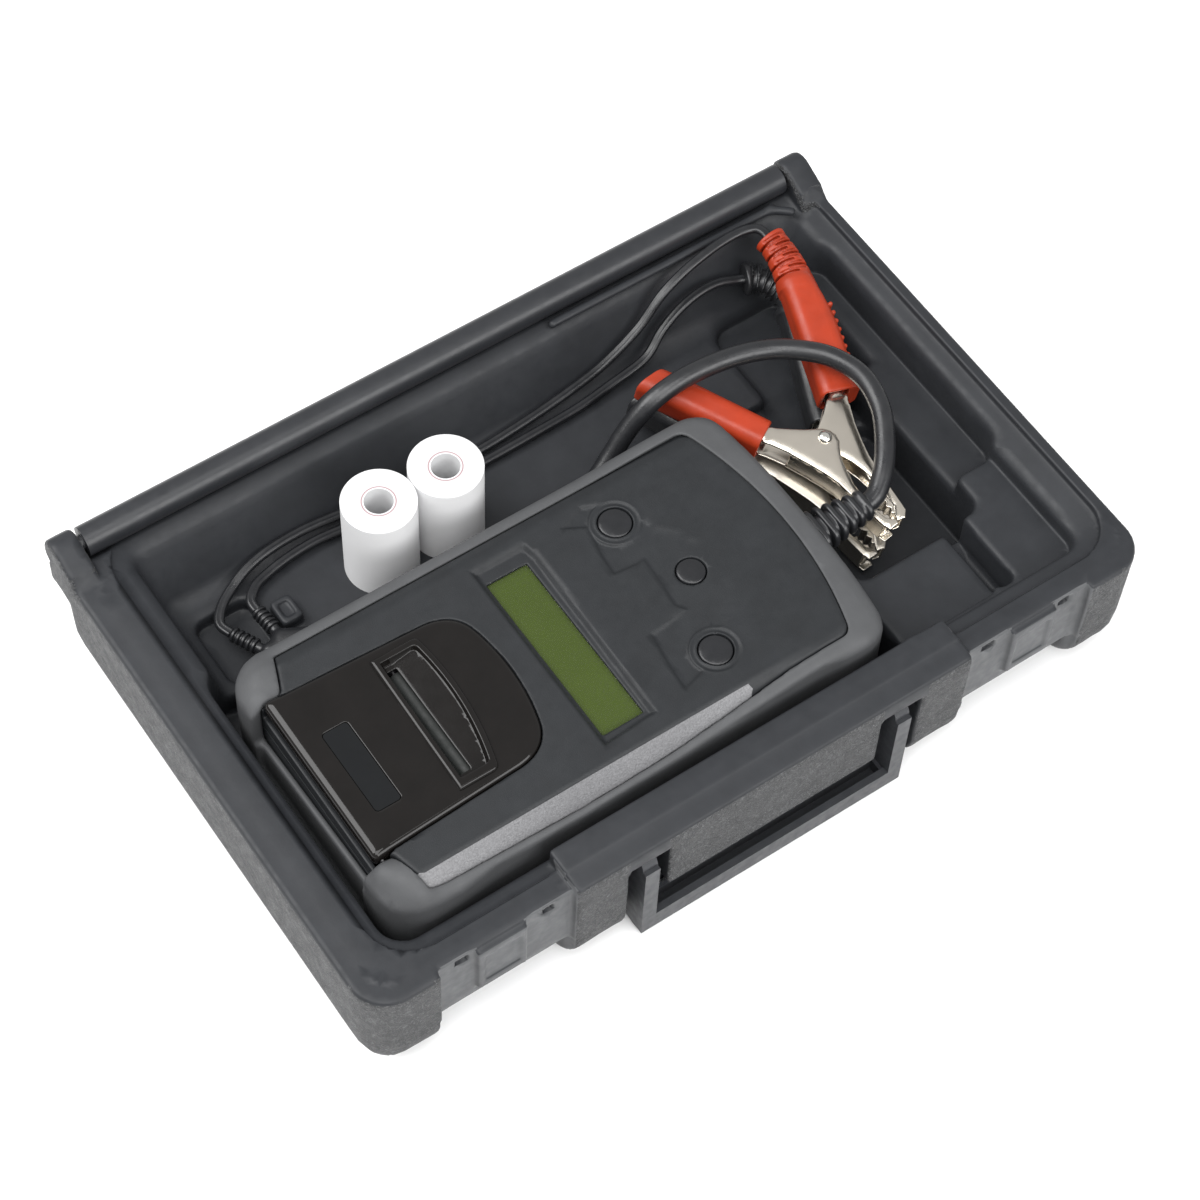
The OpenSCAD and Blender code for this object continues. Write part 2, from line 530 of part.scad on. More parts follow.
// where a lead meets its clamp boot, and the way the boot points there
function boot_end(c, turn, boot_l, bend, past) = let(
    r = boot_l*180/(PI*bend), u = grip_l + r*sin(bend) + past*cos(bend), v = r*(1 - cos(bend)) + past*sin(bend),
    x = arm_a[0] + u*cos(ang_a) - v*sin(ang_a), y = arm_a[1] + u*sin(ang_a) + v*cos(ang_a),
    p = x*cos(turn) - y*sin(turn), q = x*sin(turn) + y*cos(turn))
  [c[0] + p, c[1] + q*cos(tilt), c[2] + q*sin(tilt)];
red_route = [[-171, 90, -38.2], [-173, 98, -38.2], [-167, 106.5, -38.2], [-157, 113, -37.5], [-145, 117.8, -35.5], [-130, 120.5, -34], [-109, 121.5, -34], [-84, 120, -35.5], [-55, 118, -37], [-28, 117, -38.4], [-2, 116.5, -38.6], [26, 117.5, -37], [55, 119.5, -34.5], [80, 122, -30.5], [105, 125.5, -20], [122, 129, -7], [137, 131.5, -1], [152, 133.5, 2], [166, 135, 3], [178, 134.8, 3.6], [185.5, 132.3, 4],
  boot_end(red_p, red_turn, red_boot, red_bend, 5), boot_end(red_p, red_turn, red_boot, red_bend, 0)];
black_route = [[-153, 94.5, -38.2], [-152.5, 101.5, -38.2], [-146, 108, -38.4], [-136, 111.5, -38.8], [-122, 114, -38.6], [-104, 115, -38.8], [-84, 113.5, -39.6], [-58, 111, -39.8], [-30, 110, -39.8], [-2, 109.5, -39.8], [26, 110, -39.6], [56, 111, -39.4], [80, 113.5, -38.2], [104, 116, -35], [118, 121, -26], [132, 124, -19.5], [146, 125.5, -16.5], [158, 125.3, -16.8],
  boot_end(black_p, black_turn, black_boot, black_bend, 5), boot_end(black_p, black_turn, black_boot, black_bend, 0)];
module main_cable() color([0.08, 0.08, 0.09]) rim_frame() tube(smooth(cable_route, 2), cable_d/2, 10);
module red_lead() color([0.08, 0.08, 0.09]) rim_frame() tube(smooth(red_route, 2), lead_d/2, 8);
module black_lead() color([0.08, 0.08, 0.09]) rim_frame() tube(smooth(black_route, 2), lead_d/2, 8);
module splitter_leg(a, b, r) {
  d = b - a; l = norm(d);
  translate(a) rotate([0, acos(d[2]/l), atan2(d[1], d[0])]) {
    cylinder(r = r, h = l);
    for (i = [0 : 3]) translate([0, 0, l*0.3 + i*l*0.17]) cylinder(r = r + 1.3, h = l*0.09);
  }
}
module y_splitter() color([0.08, 0.08, 0.09]) rim_frame() {
  hull() {
    translate([-112, 58, -37.2]) rotate([0, -90, 0]) cylinder(r = 5.6, h = 2, $fn = 32);
    translate([-133, 62, -36.6]) sphere(6, $fn = 32);
    translate([-151, 73, -38]) cylinder(r = 6, h = 8, center = true, $fn = 32);
    translate([-160, 68.5, -38]) cylinder(r = 6, h = 8, center = true, $fn = 32);
  }
  splitter_leg([-151, 76, -38], [-153, 94.5, -38.2], 3.2);
  splitter_leg([-162, 71, -38], [-171, 90, -38.2], 3.2);
}

// ---------- clamps ----------
// closed clamp lying in its own plane, rivet at the origin, jaws towards -Y
module lay(c, turn) rim_frame() translate(c) rotate([tilt, 0, 0]) rotate([0, 0, turn]) children();
function along(a, ang, l, h) = [a[0] + l*cos(ang) + h*sin(ang), a[1] + l*sin(ang) - h*cos(ang)];
function bar(a, ang, l0, l1, h0, h1) = [along(a, ang, l0, h0), along(a, ang, l1, h0), along(a, ang, l1, h1), along(a, ang, l0, h1)];
module fix_plan() {
  union() {
    polygon([[-6.4, 3], [1.7, 8], [8.6, 13], [14.8, 18.5], along(arm_a, ang_a, 0, -4.9), along(arm_a, ang_a, 0, 4.9), [23.7, 9.8], [19.8, -0.4], [17.1, -10.6], [15.3, -19.3], [14.3, -36], [13.7, -55], [10.7, -58.5], [6.1, -58], [6.8, -55], [9.6, -50], [10, -37], [7.5, -25], [5.1, -18.1], [2.6, -13.2], [-3, -7], [-6.4, -3]]);
    polygon(bar(arm_a, ang_a, -2, 60, -4.5, 4.5));
  }
}
module mov_plan() polygon([along(arm_b, ang_b, 60, 4.4), along(arm_b, ang_b, 0, 4.4), [-15.4, 15.4], [-6.7, 9.8], [-0.3, 6.6], [2.5, 5.1], [5.2, 2.3], [6.4, -1.2], [6, -5.1], [3.4, -9.1], [1.4, -13.4], [-0.8, -21.1], [-2, -29.3], [-2.1, -43], [1, -54], [5.4, -57.2], [5.4, -60], [-0.9, -60.9], [-2.3, -57.3], [-4.8, -47.2], [-8.7, -25], [-11.5, -17.6], [-15.5, -9.1], [-21.1, 1.7], along(arm_b, ang_b, 0, -4.4), along(arm_b, ang_b, 60, -4.4)]);
module fixed_jaw(c, turn) color([0.8, 0.79, 0.76]) lay(c, turn) difference() {
  union() {
    for (z = [-6.6, 5.4]) translate([0, 0, z]) linear_extrude(plate_t) fix_plan();
    // outer web joining the two plates
    translate([0, 0, -6.6]) linear_extrude(13.2) union() {
      polygon([[23.7, 9.8], [19.8, -0.4], [17.1, -10.6], [15.3, -19.3], [14.3, -36], [13.7, -55], [10.7, -58.5], [9.8, -57.2], [12.4, -54.6], [13, -36], [14, -19.2], [15.8, -10.4], [18.5, -0.1], [22.4, 10.1]]);
      polygon(bar(arm_a, ang_a, 2, 60, 3.3, 4.5));
    }
    // toothed contact tip
    translate([0, 0, -6]) linear_extrude(12) polygon([[11.2, -41], [7.4, -42], [5.6, -43.7], [7.8, -45.8], [5.9, -48.1], [8, -50.2], [6, -52.4], [9, -54.4], [11.2, -54]]);
  }
  translate([0, 0, -10]) cylinder(r = rivet_r, h = 20);
}
module moving_jaw(c, turn) color([0.8, 0.79, 0.76]) lay(c, turn) difference() {
  union() {
    for (z = [-8.2, 7]) translate([0, 0, z]) linear_extrude(plate_t) mov_plan();
    translate([0, 0, -8.2]) linear_extrude(16.4) polygon([along(arm_b, ang_b, 60, -4.4), along(arm_b, ang_b, 0, -4.4), [-21.1, 1.7], [-15.5, -9.1], [-11.5, -17.6], [-8.7, -25], [-4.8, -47.2], [-3.5, -46.9], [-7.4, -24.7], [-10.2, -17.1], [-14.3, -8.6], [-19.9, 2.3], along(arm_b, ang_b, 0, -3.2), along(arm_b, ang_b, 60, -3.2)]);
    translate([0, 0, -7.6]) linear_extrude(15.2) polygon([[-2.9, -46.2], [1, -46], [0, -48.2], [2.3, -49.6], [1.2, -51.8], [3.6, -53], [3, -56.4], [0, -57], [-1.8, -52]]);
  }
  translate([0, 0, -10]) cylinder(r = rivet_r + rivet_gap, h = 20);
}
module grip_sleeve() difference() {
  translate([1, 0, 0]) rotate([90, 0, 90]) linear_extrude(grip_l - 1) rr2(-9, 9, -10.8, 10.8, 7);
  translate([0, 0, 0]) rotate([90, 0, 90]) linear_extrude(62) rr2(-6.7, 6.7, -8.7, 8.7, 2);
}
module fixed_grip(c, turn, boot_l, bend) lay(c, turn) translate([arm_a[0], arm_a[1], 0]) rotate([0, 0, ang_a]) {
  r = boot_l*180/(PI*bend);
  union() {
    grip_sleeve();
    // ribbed boot, bent to the left
    translate([grip_l, r, 0]) rotate([0, 0, -90]) {
      rotate_extrude(angle = bend) translate([r, 0]) circle(5.6, $fn = 32);
      for (i = [0 : 4]) rotate([0, 0, bend*(0.09 + i*0.18)]) translate([r, -0.6, 0]) rotate([-90, 0, 0]) cylinder(r = 8.6 - i*0.5, h = 2.6);
    }
  }
}
module moving_grip(c, turn) lay(c, turn) translate([arm_b[0], arm_b[1], 0]) rotate([0, 0, ang_b]) grip_sleeve();
module red_fixed_jaw() fixed_jaw(red_p, red_turn);
module red_moving_jaw() moving_jaw(red_p, red_turn);
module red_fixed_grip() color([0.8, 0.12, 0.08]) fixed_grip(red_p, red_turn, red_boot, red_bend);
module red_moving_grip() color([0.8, 0.12, 0.08]) moving_grip(red_p, red_turn);
module black_fixed_jaw() fixed_jaw(black_p, black_turn);
module black_moving_jaw() moving_jaw(black_p, black_turn);
module black_fixed_grip() color([0.1, 0.1, 0.11]) fixed_grip(black_p, black_turn, black_boot, black_bend);
module black_moving_grip() color([0.1, 0.1, 0.11]) moving_grip(black_p, black_turn);
module rivet(c, turn) color([0.8, 0.79, 0.76]) lay(c, turn) union() {
  cylinder(r = rivet_r, h = 17.4, center = true);
  for (s = [-1, 1]) translate([0, 0, s*9.2]) cylinder(r = 3.7, h = 1.4, center = true);
}
module jaw_spring(c, turn) color([0.7, 0.7, 0.7]) lay(c, turn) union() {
  for (i = [0 : 4]) translate([0, 0, -4 + i*2]) rotate_extrude($fn = 32) translate([4.4, 0]) circle(0.98, $fn = 16);
  difference() { cylinder(r = 4.6, h = 8.4, center = true); cylinder(r = 3.6, h = 10, center = true); }
}
module red_rivet() rivet(red_p, red_turn);
module black_rivet() rivet(black_p, black_turn);
module red_spring() jaw_spring(red_p, red_turn);
module black_spring() jaw_spring(black_p, black_turn);

// ---------- spare paper rolls ----------
roll1 = [-82.3, 87];
roll2 = [-42.4, 86.6];
module spare_paper(p) color([0.95, 0.95, 0.94]) rim_frame() difference() {
  cylz(roll_d/2, acc_z, acc_z + paper_w, p[0], p[1], $fn = 64);
  cylz(core_d/2, acc_z - 1, acc_z + paper_w + 1, p[0], p[1]);
}
module spare_core(p) color([0.75, 0.6, 0.58]) rim_frame() difference() {
  cylz(core_d/2, acc_z, acc_z + paper_w, p[0], p[1]);
  cylz(core_d/2 - 1.5, acc_z - 1, acc_z + paper_w + 1, p[0], p[1]);
}
module spare_paper_1() spare_paper(roll1);
module spare_core_1() spare_core(roll1);
module spare_paper_2() spare_paper(roll2);
module spare_core_2() spare_core(roll2);

case_tray();
hinge_barrel();
carry_handle();
handle_pins();
bottom_shell();
top_shell();
rubber_boot();
printer_door();
door_hinge_pin();
slot_bezel();
door_window();
tear_bar();
paper_bucket();
printer_frame();
platen_shaft();
platen_rubber();
platen_gear();
idler_gear();
motor_pinion();
feed_motor();
thermal_head();
loaded_paper();
loaded_core();
lcd_window();
lcd_panel();
lcd_module();
main_board();
board_screws();
key_mat();
key_left();
key_middle();
key_right();
battery_cells();
battery_contacts();
battery_cover();
cover_screws();
shell_screws();
cable_relief();
main_cable();
y_splitter();
red_lead();
black_lead();
red_fixed_jaw();
red_moving_jaw();
red_fixed_grip();
red_moving_grip();
red_rivet();
red_spring();
black_fixed_jaw();
black_moving_jaw();
black_fixed_grip();
black_moving_grip();
black_rivet();
black_spring();
spare_paper_1();
spare_core_1();
spare_paper_2();
spare_core_2();
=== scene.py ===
import bpy, math
import numpy as np
import openvdb as vdb
from mathutils import Matrix, Vector


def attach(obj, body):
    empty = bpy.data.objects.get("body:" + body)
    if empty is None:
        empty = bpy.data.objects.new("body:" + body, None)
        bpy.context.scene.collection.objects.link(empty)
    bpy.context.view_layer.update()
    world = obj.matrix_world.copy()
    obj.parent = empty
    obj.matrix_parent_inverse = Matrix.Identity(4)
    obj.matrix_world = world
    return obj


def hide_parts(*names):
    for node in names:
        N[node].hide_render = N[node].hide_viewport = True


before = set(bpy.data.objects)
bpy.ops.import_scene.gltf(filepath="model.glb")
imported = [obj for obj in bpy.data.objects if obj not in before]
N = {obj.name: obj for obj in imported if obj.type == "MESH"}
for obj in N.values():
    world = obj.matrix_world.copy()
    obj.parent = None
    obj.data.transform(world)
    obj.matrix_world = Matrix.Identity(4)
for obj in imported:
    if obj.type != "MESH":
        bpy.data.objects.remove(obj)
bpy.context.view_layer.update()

# ------------------------------------------------------------------ camera
# rim coordinates (mm): origin in the middle of the tray rim; row frame = (x, y - 7.5, z + 80) / 1000
def R(x, y, z):
    return Vector((x / 1000, (y - 7.5) / 1000, (z + 80) / 1000))

az, el, roll = math.radians(-36.84), math.radians(57.81), math.radians(2.99)
back = Vector((math.sin(az) * math.cos(el), -math.cos(az) * math.cos(el), math.sin(el)))
right = Vector((math.cos(az), math.sin(az), 0))
up = back.cross(right)
r2 = right * math.cos(roll) + up * math.sin(roll)
u2 = -right * math.sin(roll) + up * math.cos(roll)
F_PX, CX, CY, DIST = 3088.0, 609.67, 562.14, 1559.4
tx, ty = (CX - 600) * DIST / F_PX, -(CY - 600) * DIST / F_PX
loc = back * DIST - r2 * tx - u2 * ty
cam_data = bpy.data.cameras.new("camera")
cam_data.sensor_width = 36
cam_data.lens = 36 * F_PX / 1200
cam_data.clip_end = 20
cam = bpy.data.objects.new("camera", cam_data)
bpy.context.scene.collection.objects.link(cam)
cam.matrix_world = Matrix.Translation(R(*loc)) @ Matrix((r2, u2, back)).transposed().to_4x4()
bpy.context.scene.camera = cam

# ------------------------------------------------------------------ cords
# tester frame -> row frame
def T(u, v, w):
    return R(u - 51, v - 33.8, w - 56)

LEAD, CABLE = 5.6, 11.0
ARM_A, ANG_A, GRIP_L, TILT = (21.2, 17.5), 72.3, 73.0, 10.0
BOOTS = {"red": 30.0, "black": 36.0}
ARM_B, ANG_B = (-25.3, 17.0), 120.4
CLAMPS = {"red": ((141.6, 8.2, -17.0), 0.0, 22.0), "black": ((136.0, 9.5, -39.0), -4.0, 90.0)}

def clamp_matrix(c, turn):
    return Matrix.Translation(R(*c)) @ Matrix.Rotation(math.radians(TILT), 4, "X") @ Matrix.Rotation(math.radians(turn), 4, "Z")

def boot_end(which, past):
    c, turn, bend = CLAMPS[which]
    b, a = math.radians(bend), math.radians(ANG_A)
    rr = BOOTS[which] / b
    u = GRIP_L + rr * math.sin(b) + past * math.cos(b)
    v = rr * (1 - math.cos(b)) + past * math.sin(b)
    x = ARM_A[0] + u * math.cos(a) - v * math.sin(a)
    y = ARM_A[1] + u * math.sin(a) + v * math.cos(a)
    t = math.radians(turn)
    p, q = x * math.cos(t) - y * math.sin(t), x * math.sin(t) + y * math.cos(t)
    k = math.radians(TILT)
    return (c[0] + p, c[1] + q * math.cos(k), c[2] + q * math.sin(k))

cable_route = [(133.6, -39, -8), (136.5, -39, -8), (143, -36.6, -6.2), (153, -28, -2), (163.5, -14, 2), (171, 1, 5), (173, 19, 8), (165.5, 37, 10.2), (151.5, 50.5, 11.4), (138, 58.5, 12), (122, 63.5, 12.4), (104, 66, 12.6), (88, 66.5, 12), (72, 66.5, 7), (58, 66.5, -6), (46, 64.5, -19), (34, 61.5, -29), (18, 58.5, -35.6), (0, 57.5, -37.2), (-30, 57.5, -37.2), (-60, 57.5, -37.2), (-90, 57.5, -37.2), (-112, 58, -37.2)]
red_route = [(-171, 90, -38.2), (-173, 98, -38.2), (-167, 106.5, -38.2), (-157, 113, -37.5), (-145, 117.8, -35.5), (-130, 120.5, -34), (-109, 121.5, -34), (-84, 120, -35.5), (-55, 118, -37), (-28, 117, -38.4), (-2, 116.5, -38.6), (26, 117.5, -37), (55, 119.5, -34.5), (80, 122, -30.5), (105, 125.5, -20), (122, 129, -7), (137, 131.5, -1), (152, 133.5, 2), (166, 135, 3), (178, 134.8, 3.6), (185.5, 132.3, 4), boot_end("red", 5), boot_end("red", 0)]
black_route = [(-153, 94.5, -38.2), (-152.5, 101.5, -38.2), (-146, 108, -38.4), (-136, 111.5, -38.8), (-122, 114, -38.6), (-104, 115, -38.8), (-84, 113.5, -39.6), (-58, 111, -39.8), (-30, 110, -39.8), (-2, 109.5, -39.8), (26, 110, -39.6), (56, 111, -39.4), (80, 113.5, -38.2), (104, 116, -35), (118, 121, -26), (132, 124, -19.5), (146, 125.5, -16.5), (158, 125.3, -16.8), boot_end("black", 5), boot_end("black", 0)]

def inside(which):
    """The lead's last stretch, through the boot and on into the grip."""
    c, turn, bend = CLAMPS[which]
    b, a = math.radians(bend), math.radians(ANG_A)
    rr, out = BOOTS[which] / b, []
    for f in (0.75, 0.5, 0.25, 0.0, -20, -38, -55):
        u, v = (GRIP_L + rr * math.sin(b * f), rr * (1 - math.cos(b * f))) if f >= 0 else (GRIP_L + f, 0.0)
        x = ARM_A[0] + u * math.cos(a) - v * math.sin(a)
        y = ARM_A[1] + u * math.sin(a) + v * math.cos(a)
        t = math.radians(turn)
        p, q = x * math.cos(t) - y * math.sin(t), x * math.sin(t) + y * math.cos(t)
        k = math.radians(TILT)
        out.append((c[0] + p, c[1] + q * math.cos(k), c[2] + q * math.sin(k)))
    return out

red_route += inside("red")
black_route += inside("black")

def smooth_route(p, k):
    p = [np.array(q, float) for q in p]
    out = []
    for i in range(len(p) - 1):
        a, b, c, d = p[max(i - 1, 0)], p[i], p[i + 1], p[min(i + 2, len(p) - 1)]
        for j in range(k):
            t = j / k
            out.append(0.5 * (2 * b + (c - a) * t + (2 * a - 5 * b + 4 * c - d) * t * t + (-a + 3 * b - 3 * c + d) * t ** 3))
    out.append(p[-1])
    return np.array(out)

def new_object(name, verts, faces, mats=(), smooth=True):
    me = bpy.data.meshes.new(name)
    me.from_pydata([tuple(v) for v in verts], [], [tuple(int(i) for i in f) for f in faces])
    me.validate()
    ob = bpy.data.objects.new(name, me)
    bpy.context.scene.collection.objects.link(ob)
    for m in mats:
        me.materials.append(m)
    if smooth:
        me.polygons.foreach_set("use_smooth", [True] * len(me.polygons))
    return ob

def sweep(name, pts, section, mat):
    """Closed tube with the given cross-section (pairs of side, up in mm) along pts (rim coordinates)."""
    pts = np.asarray(pts, float)
    d = np.gradient(pts, axis=0)
    d /= np.linalg.norm(d, axis=1)[:, None]
    verts, n = [], len(section)
    side = None
    for p, t in zip(pts, d):
        s = np.cross([0, 0, 1.0], t)
        if side is None:
            side = s / np.linalg.norm(s)
        else:
            side = side - t * side.dot(t)
            side /= np.linalg.norm(side)
            s = s / max(np.linalg.norm(s), 1e-6)
            if s.dot(side) < 0:
                s = -s
            side = side * 0.7 + s * 0.3
            side -= t * side.dot(t)
            side /= np.linalg.norm(side)
        upv = np.cross(t, side)
        for a, b in section:
            verts.append(R(*(p + side * a + upv * b)))
    faces = []
    for i in range(len(pts) - 1):
        for k in range(n):
            faces.append((i * n + k, i * n + (k + 1) % n, (i + 1) * n + (k + 1) % n, (i + 1) * n + k))
    faces.append(tuple(range(n - 1, -1, -1)))
    faces.append(tuple((len(pts) - 1) * n + k for k in range(n)))
    return new_object(name, verts, faces, [mat])

# ------------------------------------------------------------------ materials
def mk(name, base, rough=0.5, metal=0.0, var=0.12, rvar=0.1, scale=60.0, grain=None, bump=0.0, bump_scale=900.0,
       coat=0.0, spec=0.5, dust=0.0, extra=None, trans=0.0, alpha=1.0):
    m = bpy.data.materials.new(name)
    m.use_nodes = True
    nt = m.node_tree
    b = nt.nodes["Principled BSDF"]
    L = nt.links.new
    tc = nt.nodes.new("ShaderNodeTexCoord")
    n1 = nt.nodes.new("ShaderNodeTexNoise")
    n1.inputs["Scale"].default_value = scale
    n1.inputs["Detail"].default_value = 6
    n1.inputs["Roughness"].default_value = 0.6
    L(tc.outputs["Object"], n1.inputs["Vector"])
    ramp = nt.nodes.new("ShaderNodeValToRGB")
    ramp.color_ramp.elements[0].position = 0.3
    ramp.color_ramp.elements[1].position = 0.7
    lo = [c * (1 - var) for c in base[:3]]
    hi = [min(1, c * (1 + var)) for c in base[:3]]
    ramp.color_ramp.elements[0].color = (*lo, 1)
    ramp.color_ramp.elements[1].color = (*hi, 1)
    L(n1.outputs["Fac"], ramp.inputs["Fac"])
    col = ramp.outputs["Color"]
    if dust > 0:
        n3 = nt.nodes.new("ShaderNodeTexNoise")
        n3.inputs["Scale"].default_value = 14
        n3.inputs["Detail"].default_value = 8
        L(tc.outputs["Object"], n3.inputs["Vector"])
        mr = nt.nodes.new("ShaderNodeMapRange")
        mr.inputs["From Min"].default_value = 0.5
        mr.inputs["From Max"].default_value = 0.8
        mr.inputs["To Max"].default_value = dust
        L(n3.outputs["Fac"], mr.inputs["Value"])
        mx = nt.nodes.new("ShaderNodeMixRGB")
        mx.inputs["Color2"].default_value = (*[min(1, c * 1.5 + 0.03) for c in base[:3]], 1)
        L(mr.outputs["Result"], mx.inputs["Fac"])
        L(col, mx.inputs["Color1"])
        col = mx.outputs["Color"]
    b.inputs["Metallic"].default_value = metal
    b.inputs["Specular IOR Level"].default_value = spec
    if coat:
        b.inputs["Coat Weight"].default_value = coat
        b.inputs["Coat Roughness"].default_value = 0.03
    b.inputs["Alpha"].default_value = alpha
    if trans:
        b.inputs["Transmission Weight"].default_value = trans
    n2 = nt.nodes.new("ShaderNodeTexNoise")
    n2.inputs["Scale"].default_value = scale * 3.1
    n2.inputs["Detail"].default_value = 5
    L(tc.outputs["Object"], n2.inputs["Vector"])
    rr = nt.nodes.new("ShaderNodeMapRange")
    rr.inputs["From Min"].default_value = 0.3
    rr.inputs["From Max"].default_value = 0.7
    rr.inputs["To Min"].default_value = max(0.02, rough - rvar)
    rr.inputs["To Max"].default_value = min(1, rough + rvar)
    L(n2.outputs["Fac"], rr.inputs["Value"])
    L(rr.outputs["Result"], b.inputs["Roughness"])
    if grain:
        # mottled mould texture: cells of slightly different brightness and height
        v = nt.nodes.new("ShaderNodeTexVoronoi")
        v.inputs["Scale"].default_value = grain[0]
        v.inputs["Randomness"].default_value = 1.0
        nn = nt.nodes.new("ShaderNodeTexNoise")
        nn.inputs["Scale"].default_value = grain[0] * 0.9
        nn.inputs["Detail"].default_value = 3
        L(tc.outputs["Object"], nn.inputs["Vector"])
        mixv = nt.nodes.new("ShaderNodeMixRGB")
        mixv.inputs["Fac"].default_value = 0.012
        L(tc.outputs["Object"], mixv.inputs["Color1"])
        L(nn.outputs["Color"], mixv.inputs["Color2"])
        L(mixv.outputs["Color"], v.inputs["Vector"])
        gm = nt.nodes.new("ShaderNodeMapRange")
        gm.inputs["From Min"].default_value = 0.05
        gm.inputs["From Max"].default_value = 0.62
        L(v.outputs["Distance"], gm.inputs["Value"])
        mx2 = nt.nodes.new("ShaderNodeMixRGB")
        mx2.blend_type = "MULTIPLY"
        mx2.inputs["Fac"].default_value = grain[1]
        L(col, mx2.inputs["Color1"])
        inv = nt.nodes.new("ShaderNodeMapRange")
        inv.inputs["To Min"].default_value = 1.6
        inv.inputs["To Max"].default_value = 0.35
        L(gm.outputs["Result"], inv.inputs["Value"])
        L(inv.outputs["Result"], mx2.inputs["Color2"])
        col = mx2.outputs["Color"]
        bp = nt.nodes.new("ShaderNodeBump")
        bp.inputs["Strength"].default_value = grain[2]
        bp.inputs["Distance"].default_value = 0.0011
        L(inv.outputs["Result"], bp.inputs["Height"])
        L(bp.outputs["Normal"], b.inputs["Normal"])
    elif bump:
        nb = nt.nodes.new("ShaderNodeTexNoise")
        nb.inputs["Scale"].default_value = bump_scale
        nb.inputs["Detail"].default_value = 4
        L(tc.outputs["Object"], nb.inputs["Vector"])
        bp = nt.nodes.new("ShaderNodeBump")
        bp.inputs["Strength"].default_value = bump
        bp.inputs["Distance"].default_value = 0.0004
        L(nb.outputs["Fac"], bp.inputs["Height"])
        L(bp.outputs["Normal"], b.inputs["Normal"])
    if extra:
        col = extra(nt, tc, col, b) or col
    L(col, b.inputs["Base Color"])
    return m

def rings_and_painted_end_shade(centre, freq, dark):
    # concentric windings seen on the end of a paper roll
    def f(nt, tc, col, b):
        sub = nt.nodes.new("ShaderNodeVectorMath"); sub.operation = "SUBTRACT"
        sub.inputs[1].default_value = centre
        nt.links.new(tc.outputs["Object"], sub.inputs[0])
        mulv = nt.nodes.new("ShaderNodeVectorMath"); mulv.operation = "MULTIPLY"
        mulv.inputs[1].default_value = (1, 1, 0)
        nt.links.new(sub.outputs[0], mulv.inputs[0])
        ln = nt.nodes.new("ShaderNodeVectorMath"); ln.operation = "LENGTH"
        nt.links.new(mulv.outputs[0], ln.inputs[0])
        ml = nt.nodes.new("ShaderNodeMath"); ml.operation = "MULTIPLY"; ml.inputs[1].default_value = freq
        nt.links.new(ln.outputs["Value"], ml.inputs[0])
        sn = nt.nodes.new("ShaderNodeMath"); sn.operation = "SINE"
        nt.links.new(ml.outputs[0], sn.inputs[0])
        mr = nt.nodes.new("ShaderNodeMapRange")
        mr.inputs["From Min"].default_value = -1; mr.inputs["To Min"].default_value = 1; mr.inputs["To Max"].default_value = dark
        nt.links.new(sn.outputs[0], mr.inputs["Value"])
        mx = nt.nodes.new("ShaderNodeMixRGB"); mx.blend_type = "MULTIPLY"; mx.inputs["Fac"].default_value = 1
        nt.links.new(col, mx.inputs["Color1"]); nt.links.new(mr.outputs["Result"], mx.inputs["Color2"])
        # painted shade and light: faces pointing up or down (the roll ends) darkened to 0.78, side faces lightened to
        # 1.12
        ge = nt.nodes.new("ShaderNodeNewGeometry")
        sp = nt.nodes.new("ShaderNodeSeparateXYZ"); nt.links.new(ge.outputs["True Normal"], sp.inputs[0])
        ab = nt.nodes.new("ShaderNodeMath"); ab.operation = "ABSOLUTE"; nt.links.new(sp.outputs["Z"], ab.inputs[0])
        m4 = nt.nodes.new("ShaderNodeMapRange"); m4.inputs["To Min"].default_value = 1.12; m4.inputs["To Max"].default_value = 0.78
        nt.links.new(ab.outputs[0], m4.inputs["Value"])
        m5 = nt.nodes.new("ShaderNodeMixRGB"); m5.blend_type = "MULTIPLY"; m5.inputs["Fac"].default_value = 1
        nt.links.new(mx.outputs["Color"], m5.inputs["Color1"]); nt.links.new(m4.outputs["Result"], m5.inputs["Color2"])
        return m5.outputs["Color"]
    return f

def core_rim(centre):
    # dark pinkish outer winding round a pale card core
    def f(nt, tc, col, b):
        sub = nt.nodes.new("ShaderNodeVectorMath"); sub.operation = "SUBTRACT"
        sub.inputs[1].default_value = centre
        nt.links.new(tc.outputs["Object"], sub.inputs[0])
        mulv = nt.nodes.new("ShaderNodeVectorMath"); mulv.operation = "MULTIPLY"
        mulv.inputs[1].default_value = (1, 1, 0)
        nt.links.new(sub.outputs[0], mulv.inputs[0])
        ln = nt.nodes.new("ShaderNodeVectorMath"); ln.operation = "LENGTH"
        nt.links.new(mulv.outputs[0], ln.inputs[0])
        mr = nt.nodes.new("ShaderNodeMapRange")
        mr.inputs["From Min"].default_value = 0.0083; mr.inputs["From Max"].default_value = 0.0086
        nt.links.new(ln.outputs["Value"], mr.inputs["Value"])
        mx = nt.nodes.new("ShaderNodeMixRGB")
        mx.inputs["Color2"].default_value = (0.30, 0.20, 0.21, 1)
        nt.links.new(mr.outputs["Result"], mx.inputs["Fac"])
        nt.links.new(col, mx.inputs["Color1"])
        return mx.outputs["Color"]
    return f

